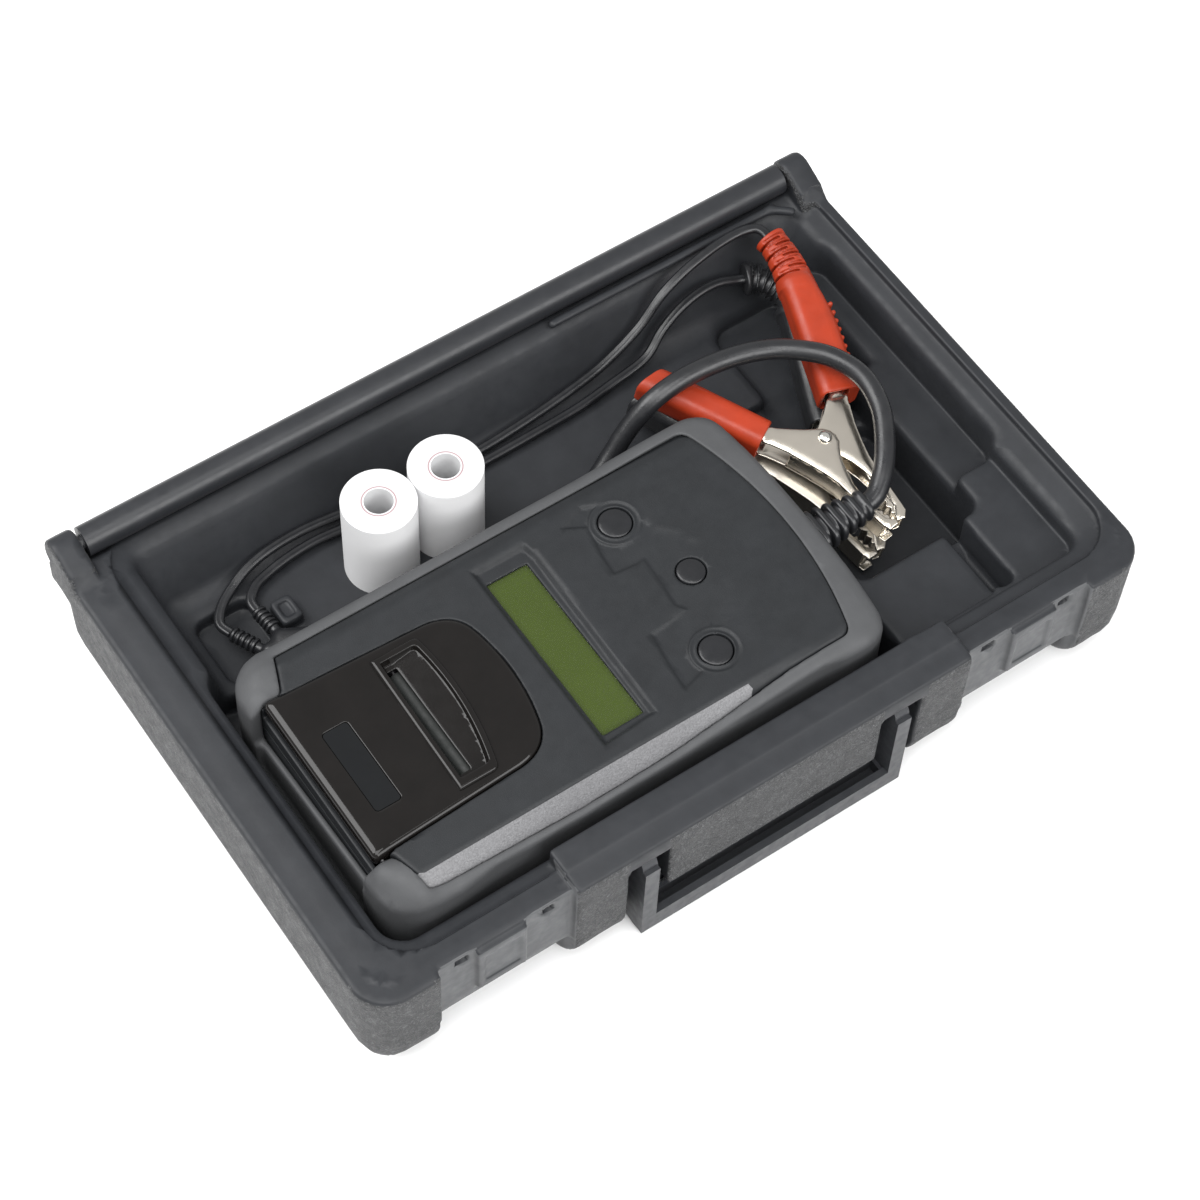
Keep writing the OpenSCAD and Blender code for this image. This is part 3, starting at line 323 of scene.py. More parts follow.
M = {
    "case": mk("case_inside", (0.0185, 0.0198, 0.0225), rough=0.5, var=0.12, rvar=0.07, bump=0.12, bump_scale=420, dust=0.08, spec=0.28),
    "case_out": mk("case_outside_grain", (0.085, 0.087, 0.09), rough=0.6, var=0.12, grain=(400, 1.0, 1.0), spec=0.35),
    "case_smooth": mk("case_latch_zone", (0.062, 0.064, 0.067), rough=0.5, var=0.15, bump=0.2, bump_scale=260, dust=0.3, spec=0.3),
    "rod": mk("hinge_rod", (0.018, 0.019, 0.0215), rough=0.36, var=0.1, rvar=0.06, bump=0.08, bump_scale=300, spec=0.4),
    "handle": mk("handle_plastic", (0.03, 0.0315, 0.035), spec=0.35, rough=0.42, var=0.1, bump=0.1, bump_scale=400),
    "shell": mk("shell_black", (0.0125, 0.0138, 0.0155), rough=0.5, var=0.14, rvar=0.06, bump=0.3, bump_scale=2200, spec=0.3),
    # near bevel: real grain, its colour raised far above the shell's as painted light on the face turned to the front
    # lamps
    "shell_bevel": mk("shell_bevel_grain_painted_light", (0.15, 0.15, 0.155), spec=0.4, rough=0.45, var=0.25, scale=900, bump=0.9, bump_scale=1300),
    "boot": mk("boot_rubber", (0.058, 0.0595, 0.062), rough=0.58, var=0.08, rvar=0.06, bump=0.12, bump_scale=900, dust=0.08, spec=0.28),
    "gloss": mk("printer_gloss", (0.0062, 0.0054, 0.005), rough=0.1, var=0.15, rvar=0.015, spec=0.3),
    "window": mk("printer_window", (0.0062, 0.0068, 0.0075), rough=0.16, var=0.1, rvar=0.01, bump=0.0, spec=0.28),
    "plastic": mk("black_plastic", (0.01, 0.01, 0.011), rough=0.5, bump=0.2),
    "key": mk("key_plastic", (0.011, 0.0115, 0.013), spec=0.4, rough=0.3, var=0.15, rvar=0.06, bump=0.1, bump_scale=1500),
    "steel": mk("steel", (0.55, 0.55, 0.56), rough=0.32, metal=1, var=0.08, bump=0.1, bump_scale=1500),
    # darker copy of the nickel for the black clamp: painted shade under the red clamp
    "nickel_painted_shade": mk("nickel_painted_shade", (0.46, 0.43, 0.38), rough=0.38, metal=1, var=0.03, rvar=0.03, scale=25, bump=0.03, bump_scale=300),
    "nickel": mk("nickel", (0.74, 0.685, 0.6), rough=0.24, metal=1, var=0.03, rvar=0.03, scale=25, bump=0.03, bump_scale=300),
    "nickel_bright": mk("nickel_rivet", (0.8, 0.78, 0.73), rough=0.14, metal=1, var=0.03, rvar=0.03, scale=25),
    "brass": mk("brass", (0.6, 0.45, 0.18), rough=0.3, metal=1, var=0.1),
    "gear": mk("gear_nylon", (0.02, 0.23, 0.11), rough=0.4, var=0.1),
    "ceramic": mk("ceramic", (0.75, 0.73, 0.66), rough=0.2, var=0.05),
    "core": mk("core_card", (0.46, 0.39, 0.39), rough=0.8, var=0.15, bump=0.3, bump_scale=1200),
    "core_in": mk("core_inner", (0.34, 0.34, 0.35), rough=0.7, var=0.1, bump=0.2),
    "glass": mk("lcd_window", (0.03, 0.035, 0.02), rough=0.12, var=0.05, alpha=0.05, rvar=0.03, spec=0.25),
    "pcb": mk("pcb", (0.01, 0.09, 0.035), rough=0.3, var=0.2, bump=0.1),
    "cell": mk("cell_wrap", (0.02, 0.025, 0.03), rough=0.25, var=0.2),
    "cord": mk("cord_rubber", (0.012, 0.0125, 0.014), rough=0.33, var=0.15, rvar=0.08, bump=0.15, bump_scale=700),
    "lead": mk("lead_vinyl", (0.009, 0.0095, 0.011), rough=0.34, var=0.15, rvar=0.08, bump=0.1, bump_scale=700),
    "red": mk("red_vinyl", (0.285, 0.028, 0.0085), rough=0.4, var=0.12, rvar=0.08, bump=0.12, bump_scale=500, spec=0.35),
    "black": mk("black_vinyl", (0.014, 0.0145, 0.016), rough=0.36, var=0.12, rvar=0.08, bump=0.12, bump_scale=500),
    "pad": mk("key_mat", (0.008, 0.01, 0.009), rough=0.6, bump=0.2),
}

def lcd_painted_edge_shade(nt, tc, col, b):
    # painted shade: gentle darkening of the base colour towards the glass edges of the recessed window
    sub = nt.nodes.new("ShaderNodeVectorMath"); sub.operation = "SUBTRACT"
    sub.inputs[1].default_value = tuple(T(-0.5, -1, 0))
    nt.links.new(tc.outputs["Object"], sub.inputs[0])
    sep = nt.nodes.new("ShaderNodeSeparateXYZ")
    nt.links.new(sub.outputs[0], sep.inputs[0])
    outs = []
    for ax, half in (("X", 0.012), ("Y", 0.0515)):
        a = nt.nodes.new("ShaderNodeMath"); a.operation = "ABSOLUTE"
        nt.links.new(sep.outputs[ax], a.inputs[0])
        mr = nt.nodes.new("ShaderNodeMapRange")
        mr.inputs["From Min"].default_value = half * 0.75 if ax == "X" else half - 0.004
        mr.inputs["From Max"].default_value = half
        mr.inputs["To Min"].default_value = 1.0; mr.inputs["To Max"].default_value = 0.82
        nt.links.new(a.outputs[0], mr.inputs["Value"])
        outs.append(mr.outputs["Result"])
    m1 = nt.nodes.new("ShaderNodeMath"); m1.operation = "MULTIPLY"
    nt.links.new(outs[0], m1.inputs[0]); nt.links.new(outs[1], m1.inputs[1])
    mx = nt.nodes.new("ShaderNodeMixRGB"); mx.blend_type = "MULTIPLY"; mx.inputs["Fac"].default_value = 1
    nt.links.new(col, mx.inputs["Color1"]); nt.links.new(m1.outputs[0], mx.inputs["Color2"])
    return mx.outputs["Color"]

M["lcd"] = mk("lcd_olive", (0.037, 0.057, 0.0066), rough=0.25, var=0.04, rvar=0.03, scale=25, extra=lcd_painted_edge_shade)
ROLLS = [(-82.3, 87.0), (-42.4, 86.6)]
for i, c in enumerate(ROLLS):
    M["paper%d" % (i + 1)] = mk("paper_%d" % (i + 1), (0.68, 0.68, 0.685), rough=0.6, var=0.015, rvar=0.05, bump=0.08, bump_scale=900, extra=rings_and_painted_end_shade(tuple(R(c[0], c[1], 0)), 21000, 0.94))
for i, c in enumerate(ROLLS):
    M["core%d" % (i + 1)] = mk("core_%d" % (i + 1), (0.56, 0.56, 0.565), rough=0.7, var=0.04, rvar=0.05, bump=0.1, bump_scale=1200, extra=core_rim(tuple(R(c[0], c[1], 0))))
M["paper_in"] = mk("paper_loaded", (0.86, 0.86, 0.865), rough=0.6, var=0.015, bump=0.08)

def circle_sec(r, n):
    return [(r * math.cos(2 * math.pi * k / n), r * math.sin(2 * math.pi * k / n)) for k in range(n)]

def twin_sec(w, h):
    # two conductors side by side with a web between them
    rad, off = h / 2, w / 2 - h / 2
    pts = []
    for k in range(9):
        a = -math.pi / 2 + math.pi * k / 8
        pts.append((off + rad * math.cos(a), rad * math.sin(a)))
    pts.append((0.0, rad * 0.72))
    for k in range(9):
        a = math.pi / 2 + math.pi * k / 8
        pts.append((-off + rad * math.cos(a), rad * math.sin(a)))
    pts.append((0.0, -rad * 0.72))
    return pts

cables = {}
for name, route, sec, mat in (("main_cable_v", cable_route, circle_sec(CABLE / 2, 20), "cord"), ("red_lead_v", red_route, twin_sec(5.6, 3.9), "lead"), ("black_lead_v", black_route, twin_sec(5.6, 3.9), "lead")):
    pts = smooth_route(route, 6)
    cables[name] = (sweep(name, pts, sec, M[mat]), pts)

# ------------------------------------------------------------------ distance fields
def smin(a, b, k):
    if k <= 0:
        return np.minimum(a, b)
    h = np.maximum(k - np.abs(a - b), 0) / k
    return np.minimum(a, b) - h * h * k * 0.25

def smax(a, b, k):
    return -smin(-a, -b, k)

class Field:
    def __init__(self, lo, hi, h):
        self.h, self.lo = h, np.array(lo, float)
        self.n = np.ceil((np.array(hi, float) - self.lo) / h).astype(int) + 1
        self.ax = [(self.lo[i] + h * np.arange(self.n[i])).astype(np.float32) for i in range(3)]
        self.d = np.full(self.n, 50.0, np.float32)
    def _cut(self, box):
        if box is None:
            return slice(None), slice(None), slice(None)
        s = []
        for i in range(3):
            a = int(np.clip(math.floor((box[0][i] - self.lo[i]) / self.h), 0, self.n[i]))
            b = int(np.clip(math.ceil((box[1][i] - self.lo[i]) / self.h) + 1, 0, self.n[i]))
            s.append(slice(a, b))
        return tuple(s)
    def grid(self, s):
        return self.ax[0][s[0]][:, None, None], self.ax[1][s[1]][None, :, None], self.ax[2][s[2]][None, None, :]
    def add(self, f, k=0.0, box=None):
        s = self._cut(box)
        self.d[s] = smin(self.d[s], f(*self.grid(s)).astype(np.float32), k)
    def cut(self, f, k=0.0, box=None):
        s = self._cut(box)
        self.d[s] = smax(self.d[s], -f(*self.grid(s)).astype(np.float32), k)
    def both(self, f, k=0.0):
        s = self._cut(None)
        self.d = smax(self.d, f(*self.grid(s)).astype(np.float32), k).astype(np.float32)
    def mesh(self, name, place, mats, adapt=0.15, smooth_custom=True):
        """place: matrix from field millimetres to the row frame."""
        d = self.d.copy()
        d[0], d[-1], d[:, 0], d[:, -1], d[:, :, 0], d[:, :, -1] = 5, 5, 5, 5, 5, 5
        g = vdb.FloatGrid(3.0 * self.h)
        g.copyFromArray(np.clip(d, -3 * self.h, 3 * self.h))
        pts, tris, quads = g.convertToPolygons(0.0, adapt)
        idx = pts.copy()
        world = self.lo + pts * self.h
        # orient the faces outward from the sign of the enclosed volume
        tq = np.concatenate([tris.reshape(-1, 3), quads[:, [0, 1, 2]], quads[:, [0, 2, 3]]])
        vol = np.einsum("ij,ij->", world[tq[:, 0]], np.cross(world[tq[:, 1]], world[tq[:, 2]]))
        step = -1 if vol < 0 else 1
        faces = [tuple(t[::step]) for t in tris.tolist()] + [tuple(q[::step]) for q in quads.tolist()]
        # normals from the field
        nrm = np.zeros_like(idx)
        i0 = np.clip(np.floor(idx).astype(int), 1, self.n - 3)
        f = idx - i0
        gr = np.gradient(d)
        for c in range(3):
            acc = 0
            for dx in (0, 1):
                for dy in (0, 1):
                    for dz in (0, 1):
                        w = (f[:, 0] if dx else 1 - f[:, 0]) * (f[:, 1] if dy else 1 - f[:, 1]) * (f[:, 2] if dz else 1 - f[:, 2])
                        acc = acc + w * gr[c][i0[:, 0] + dx, i0[:, 1] + dy, i0[:, 2] + dz]
            nrm[:, c] = acc
        ln = np.linalg.norm(nrm, axis=1)
        nrm /= np.maximum(ln, 1e-6)[:, None]
        hom = np.c_[world, np.ones(len(world))] @ np.array(place).T
        ob = new_object(name, hom[:, :3], faces, mats)
        me = ob.data
        if smooth_custom and len(me.vertices) == len(nrm):
            rot = np.array(place)[:3, :3]
            nw = nrm @ rot.T
            nw /= np.maximum(np.linalg.norm(nw, axis=1), 1e-9)[:, None]
            me.normals_split_custom_set_from_vertices([tuple(v) for v in nw])
        return ob

def rr2(X, Y, x0, x1, y0, y1, r):
    cx, cy, hx, hy = (x0 + x1) / 2, (y0 + y1) / 2, (x1 - x0) / 2, (y1 - y0) / 2
    qx, qy = np.abs(X - cx) - hx + r, np.abs(Y - cy) - hy + r
    return np.sqrt(np.maximum(qx, 0) ** 2 + np.maximum(qy, 0) ** 2) + np.minimum(np.maximum(qx, qy), 0) - r

def ext(d2, Z, z0, z1, r=0.0):
    w = np.abs(Z - (z0 + z1) / 2) - (z1 - z0) / 2 + r
    q = d2 + r
    return np.sqrt(np.maximum(q, 0) ** 2 + np.maximum(w, 0) ** 2) + np.minimum(np.maximum(q, w), 0) - r

def rbox(x0, x1, y0, y1, z0, z1, r2, r=0.0):
    return lambda X, Y, Z: ext(rr2(X, Y, x0, x1, y0, y1, r2), Z, z0, z1, r)

def poly2(X, Y, pts):
    X, Y = np.broadcast_arrays(X, Y)
    d = np.full(X.shape, 1e9, np.float32)
    s = np.ones(X.shape, np.float32)
    n = len(pts)
    for i in range(n):
        ax_, ay = pts[i]
        bx, by = pts[i - 1]
        ex, ey = bx - ax_, by - ay
        wx, wy = X - ax_, Y - ay
        t = np.clip((wx * ex + wy * ey) / (ex * ex + ey * ey), 0, 1)
        px, py = wx - ex * t, wy - ey * t
        d = np.minimum(d, px * px + py * py)
        c1, c2, c3 = Y >= ay, Y < by, ex * wy > ey * wx
        flip = (c1 & c2 & c3) | (~c1 & ~c2 & ~c3)
        s = np.where(flip, -s, s)
    return s * np.sqrt(d)

def capsule(a, b, r):
    a, b = np.array(a, float), np.array(b, float)
    ab = b - a
    L2 = ab.dot(ab)
    def f(X, Y, Z):
        px, py, pz = X - a[0], Y - a[1], Z - a[2]
        t = np.clip((px * ab[0] + py * ab[1] + pz * ab[2]) / L2, 0, 1)
        return np.sqrt((px - ab[0] * t) ** 2 + (py - ab[1] * t) ** 2 + (pz - ab[2] * t) ** 2) - r
    return f

def ellipsoid(c, r):
    def f(X, Y, Z):
        k0 = np.sqrt(((X - c[0]) / r[0]) ** 2 + ((Y - c[1]) / r[1]) ** 2 + ((Z - c[2]) / r[2]) ** 2)
        k1 = np.sqrt(((X - c[0]) / r[0] ** 2) ** 2 + ((Y - c[1]) / r[1] ** 2) ** 2 + ((Z - c[2]) / r[2] ** 2) ** 2)
        return k0 * (k0 - 1.0) / np.maximum(k1, 1e-6)
    return f

MM = Matrix.Diagonal((0.001, 0.001, 0.001, 1))
RIM = Matrix.Translation(R(0, 0, 0)) @ MM
TEST = Matrix.Translation(T(0, 0, 0)) @ MM
FINE = 1.0

# ------------------------------------------------------------------ case tray
HL, FY, BY = 233.9, -147.2, 160.0
def make_tray():
    F = Field((-238, -151, -83), (238, 169, 17), 1.15 * FINE)
    d2 = lambda X, Y: rr2(X, Y, -HL, HL, FY, BY, 20)
    def outer(X, Y, Z):
        draft = np.clip(-Z, 0, 80) * 0.0125
        q = d2(X, Y) + draft + 27
        w = -Z - 80 + 27
        bottom = np.sqrt(np.maximum(q, 0) ** 2 + np.maximum(w, 0) ** 2) + np.minimum(np.maximum(q, w), 0) - 27
        return smax(bottom, Z, 3.0)
    F.add(outer)
    top = ((-240, -152, -12), (240, 170, 18))
    # locating bead and the gentle slope down to the opening
    F.add(lambda X, Y, Z: smax(np.abs(rr2(X, Y, -223.8, 228, -136.8, 131, 13)) - 0.9, Z - 0.7, 0.5), 0.5, top)
    op2 = lambda X, Y: rr2(X, Y, -203, 218, -121, 143, 15)
    F.cut(lambda X, Y, Z: smax(-(Z + 5.4 - 0.3 * np.clip(op2(X, Y), -5, 20)), op2(X, Y) - 8.6, 0.5), 0.8, top)
    # raised front section
    def raised(X, Y, Z):
        prof = np.where(Y < -136.5, 2.6 + (Y + 147.2) * 0.17, 5.0)
        return smax(smax(np.abs(X) - 118.5, np.maximum(FY + 0.2 - Y, Y + 120.5), 2.0), Z - prof, 1.6)
    F.add(raised, 1.0, ((-125, -152, -20), (125, -112, 18)))
    F.cut(capsule((-119, -136.3, 4.6), (119, -136.3, 4.6), 0.8), 0.5, ((-125, -140, 2), (125, -133, 9)))
    # rooms inside
    def acc(X, Y, Z):
        t = (Z + 43) / 43
        a = smax((Y - 120.5 - 22.5 * t) * 0.886, (-192 - 9 * t - X) * 0.979, 9)
        a = smax(a, (X - 196 - 22 * t) * 0.89, 9)
        return smax(smax(a, 45 - Y, 4), -43 - Z, 7)
    F.cut(acc, 3.0)
    F.cut(rbox(-205, 105, -119.5, 60, -56, 40, 14, 0), 3.5)
    F.cut(rbox(84, 186, -58, 62, -52, 40, 8), 4, ((70, -75, -60), (200, 80, 17)))
    F.cut(rbox(148, 199, 40, 117, -52, 40, 12), 6, ((130, 20, -60), (215, 130, 17)))
    F.cut(rbox(110, 188, -68, 26, -63, 40, 8), 4, ((95, -80, -70), (205, 40, 17)))
    F.cut(rbox(150, 216, -46, 112, -29, 40, 10), 5, ((135, -60, -40), (235, 130, 17)))
    F.cut(rbox(95, 211, -119.5, -40, -18, 40, 10), 4, ((80, -135, -30), (230, -25, 17)))
    F.cut(rbox(95, 165, -113, -60, -25, 40, 6), 3, ((80, -125, -35), (180, -50, 17)))
    F.cut(rbox(165, 176, -113, -52, -40, 40, 4), 3, ((155, -125, -50), (186, -40, 17)))
    F.cut(rbox(-184, -152, 66, 108, -52, 40, 6), 4, ((-195, 55, -60), (-140, 120, 0)))
    F.add(rbox(-146.5, -134.5, 78, 94, -46, -35.5, 2.5, 1.2), 2.0, ((-160, 65, -60), (-120, 110, -15)))
    F.cut(rbox(-143.5, -137.5, 81.5, 90.5, -37.2, -20, 1.5), 0.8, ((-150, 76, -42), (-130, 98, -18)))
    # ridge along the hinge side and its step
    F.add(capsule((60, 141.5, -1.2), (203, 141.5, -1.2), 2.4), 2.5, ((50, 130, -12), (215, 150, 8)))
    F.add(capsule((203, 141.5, -1.2), (212, 134, -1.2), 2.4), 2.5, ((195, 125, -12), (222, 150, 8)))
    # front wall: latch seats, handle recess with its panel
    for s in (-1, 1):
        F.cut(rbox(s * 157 - 38, s * 157 + 38, FY - 6, -142.6, -95, 12, 1.5), 1.5, ((s * 157 - 45, -152, -84), (s * 157 + 45, -130, 17)))
        F.cut(rbox(s * 157 - 36, s * 157 + 36, FY - 6, -128, -95, -52, 1.5), 6, ((s * 157 - 45, -152, -84), (s * 157 + 45, -115, -40)))
        F.add(rbox(s * 160 - 14, s * 160 + 14, -146.2, -135, -40, -2.5, 1.5, 1), 2.0, ((s * 160 - 20, -150, -45), (s * 160 + 20, -130, 5)))
        F.cut(rbox(s * 160 - 10.5, s * 160 + 10.5, -150, -144.8, -34, -9, 1.5), 1.0, ((s * 160 - 16, -150, -40), (s * 160 + 16, -138, 0)))
        for dx in (-24, 24):
            F.cut(rbox(s * 157 + dx - 3.5, s * 157 + dx + 3.5, -150, -139.5, -9, -3.6, 1.0), 0.8, ((s * 157 + dx - 8, -150, -14), (s * 157 + dx + 8, -134, 0)))
    F.cut(rbox(-88, 88, FY - 6, -131.5, -95, -9, 2), 2.0, ((-95, -152, -84), (95, -120, 0)))
    F.add(rbox(-64, 64, FY + 0.4, -126, -47, -4, 1.5, 1.0), 1.5, ((-72, -150, -55), (72, -120, 0)))
    for s in (-1, 1):
        F.cut(lambda X, Y, Z: np.maximum(np.sqrt((Y + 140) ** 2 + (Z + 17) ** 2) - 2.6, np.abs(X - s * 90) - 6), 0, ((s * 90 - 8, -145, -22), (s * 90 + 8, -135, -12)))
    # barrel seat and ears
    F.cut(lambda X, Y, Z: np.maximum(np.abs(X) - 218.5, np.sqrt((Y - 153.4) ** 2 + (Z - 4.2) ** 2) - 9.5), 1.0, ((-222, 140, -10), (222, 169, 17)))
    F.cut(lambda X, Y, Z: np.maximum(np.abs(X) - 218.5, np.maximum(144.5 - Y, -Z)), 1.0, ((-222, 140, -2), (222, 169, 17)))
    ear = [(131, -24), (131, 0.5), (136, 6.5), (143, 9.5), (149, 12.2), (153.4, 13.2), (158.5, 11.8), (162, 8), (163.3, 3.4), (161.5, -24)]
    for s in (-1, 1):
        a, b = (218.6, HL) if s > 0 else (-HL, -218.6)
        def f(X, Y, Z, a=a, b=b):
            d = poly2(Y[0], Z[0], ear)[None]
            w = np.abs(X - (a + b) / 2) - (b - a) / 2 + 2.5
            q = d + 2.5
            return np.sqrt(np.maximum(q, 0) ** 2 + np.maximum(w, 0) ** 2) + np.minimum(np.maximum(q, w), 0) - 2.5
        F.add(f, 2.0, ((a - 8, 122, -40), (b + 8, 169, 17)))
        F.cut(lambda X, Y, Z: np.maximum(np.sqrt((Y - 153.4) ** 2 + (Z - 4.2) ** 2) - 4.06, np.abs(X - s * 225) - 7.5), 0, ((s * 225 - 10, 146, -4), (s * 225 + 10, 161, 12)))
    ob = F.mesh("tray_v", RIM, [M["case"], M["case_out"], M["case_smooth"]], 0.12)
    # outer walls carry the mottled mould grain; the latch zones are smooth
    me = ob.data
    n = len(me.polygons)
    c = np.empty(n * 3); me.polygons.foreach_get("center", c); c = c.reshape(-1, 3)
    nn = np.empty(n * 3); me.polygons.foreach_get("normal", nn); nn = nn.reshape(-1, 3)
    x, y, z = c[:, 0] * 1000, c[:, 1] * 1000 + 7.5, c[:, 2] * 1000 - 80
    dd = rr2(x, y, -HL, HL, FY, BY, 20)
    out = ((dd > -4.5) & (nn[:, 2] < 0.5) & (z < np.where((np.abs(x) < 120) & (y < -120), 1.2, -1.6))) | (z < -60) & (dd > -35) & (nn[:, 2] < 0.2)
    out |= nn[:, 2] < -0.4
    out |= (np.abs(x) > 218.6) & (y > 128) & (nn[:, 2] < 0.6)
    latch = (np.abs(np.abs(x) - 157) < 39.5) & (y < -127) & (nn[:, 2] < 0.5)
    # the handle recess round the panel takes the dark smooth inside material as painted shade in the recess
    hand_recess_painted_shade = (np.abs(x) < 89) & (y < -127) & (nn[:, 2] < 0.6) & ~((np.abs(x) < 64.5) & (y < -145)) & (z > -75)
    idx = np.zeros(n, np.int32)
    idx[out] = 1
    idx[latch] = 2
    idx[hand_recess_painted_shade] = 0
    me.polygons.foreach_set("material_index", idx)
    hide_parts("case_tray")
    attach(ob, "case")
    return ob

make_tray()

# ------------------------------------------------------------------ rubber boot
def plan2(X, Y, e=0.0):
    return np.maximum(rr2(X, Y, -142 + e, 140 - e, -76 + e, 76 - e, max(20 - e, 1)), np.sqrt((X - (140 - e - 700)) ** 2 + Y ** 2) - 700)

def front_w(X):
    # level of the boot's edge along the near side
    return np.interp(X, [-150, -125, -85, -40, 15, 55, 85, 105, 160], [63.5, 63, 60.5, 57.6, 59.5, 64, 67.6, 69, 69]).astype(np.float32)

def front_v(X):
    return np.interp(X, [-150, 0, 45, 85, 160], [75.4, 75.4, 74.2, 72.2, 72.2]).astype(np.float32)

def seam2(X, Y, e=0.0):
    """Edge between boot and top shell seen from above."""
    a = np.maximum(np.maximum(-141.6 + e - X, -Y - front_v(X) + e), Y - 73 + e)
    b = np.sqrt((X + 84.5) ** 2 + Y ** 2) - 219 + e
    d = smax(a, b, 5)
    up = smin(Y - 51.5 - e, (-0.930 * (X + 130.6) + 0.369 * (Y - 52)) - e * 0, 3)
    lo = smin(-Y - 51.0, (-0.967 * (X + 131.8) - 0.256 * (Y + 55)), 3)
    return smax(smax(d, up + e, 1), lo + e, 1)

def shell_top(X, Y):
    # flat crown; near side falls over a steep long facet, far side over a shallow one
    fw, fv = front_w(X), front_v(X)
    slope = (70.3 - fw) / (fv - 67.3)
    near = np.where(Y < 0, np.maximum(-Y - 67.3, 0) * slope, 0)
    far = np.where(Y > 0, np.maximum(Y - 66, 0) * 0.42, 0)
    return 70 - near - far

def boot_top(X, Y):
    fw = np.where(Y < 0, front_w(X), 67.0 + np.clip((X - 60) / 45, 0, 1) * 2.1)
    return fw - 0.11 * np.clip(seam2(X, Y), 0, 20)

def make_boot():
    F = Field((-152.5, -85, -1), (152.5, 85, 73), 0.85 * FINE)
    def outer2(X, Y):
        return smax(rr2(X, Y, -149, 149, -82, 82, 24), np.sqrt((X + 351) ** 2 + Y ** 2) - 500, 4)
    def body(X, Y, Z):
        near = np.clip((-Y - 60) / 10, 0, 1) * np.clip((X + 112) / 20, 0, 1) * np.clip((120 - X) / 20, 0, 1)
        rr_ = 6.5 - 3.8 * near
        q = outer2(X, Y) + rr_ + 2.6 * near
        w = Z - boot_top(X, Y) + rr_
        t = np.sqrt(np.maximum(q, 0) ** 2 + np.maximum(w, 0) ** 2) + np.minimum(np.maximum(q, w), 0) - rr_
        return smax(t, -Z, 5)
    F.add(body)
    for s in (-1, 1):
        F.cut(ellipsoid((10, s * 84.5, 30), (95, 4.2, 20)), 3)
    # rounded corner bumpers at the printer end, reaching up over the shell
    for s in (-1, 1):
        F.add(ellipsoid((-130.5, s * 63.5, 43), (18.6, 19.2, 28.6)), 6, ((-152.5, -85, 10), (-90, 85, 73)))
        F.add(capsule((-139, s * 57, 64.4), (-131, s * 72, 61.5), 5.2), 6, ((-152.5, -85, 40), (-100, 85, 73)))
    F.both(lambda X, Y, Z: ext(rr2(X, Y, -148.9, 148.9, -81.9, 81.9, 22), Z, 0.1, 71.6, 3), 1)
    # room for the shells, and the narrower opening through which the top shell shows
    F.cut(lambda X, Y, Z: np.maximum(np.maximum(plan2(X, Y, -0.15), 2.9 - Z), Z - boot_top(X, Y) + 2.5), 0.5)
    F.cut(lambda X, Y, Z: np.maximum(seam2(X, Y), 50 - Z), 0.7)
    F.cut(rbox(-118, 118, -58, 58, -2, 4.5, 14), 1)
    # open printer end between the bumpers, above a low wall
    def mouth(X, Y, Z):
        return smax(smax(X + 121, np.abs(Y) - 50.6, 2.5), 43.5 - 0.09 * Y - Z, 3)
    F.cut(mouth, 2.5, ((-152.5, -70, 20), (-100, 70, 73)))
    F.cut(lambda X, Y, Z: smax(smax(X + 145.8, np.abs(Y) - 49, 4), 14 - Z, 8), 2.0, ((-152.5, -70, 2), (-135, 70, 60)))
    F.cut(lambda X, Y, Z: np.maximum(np.sqrt((Y + 5.2) ** 2 + (Z - 48) ** 2) - 12.8, 130 - X), 1.5, ((125, -25, 30), (152, 15, 71.5)))
    ob = F.mesh("boot_v", TEST, [M["boot"]], 0.1)
    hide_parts("rubber_boot")
    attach(ob, "tester")

make_boot()

# ------------------------------------------------------------------ top shell
KEYS = [(61.4, 45.0, 8.8), (76.9, 0.4, 7.6), (60.5, -44.0, 8.8)]
def door2(X, Y, e=0.0):
    a = np.abs(Y - 0.2) + (X + 138) * 0.048 - 50.4 + e
    b = np.sqrt((X + 149.9) ** 2 + (Y - 4) ** 2) - 120.2 + e
    return smax(smax(a, b, 15), -139.8 + e - X, 2.0)

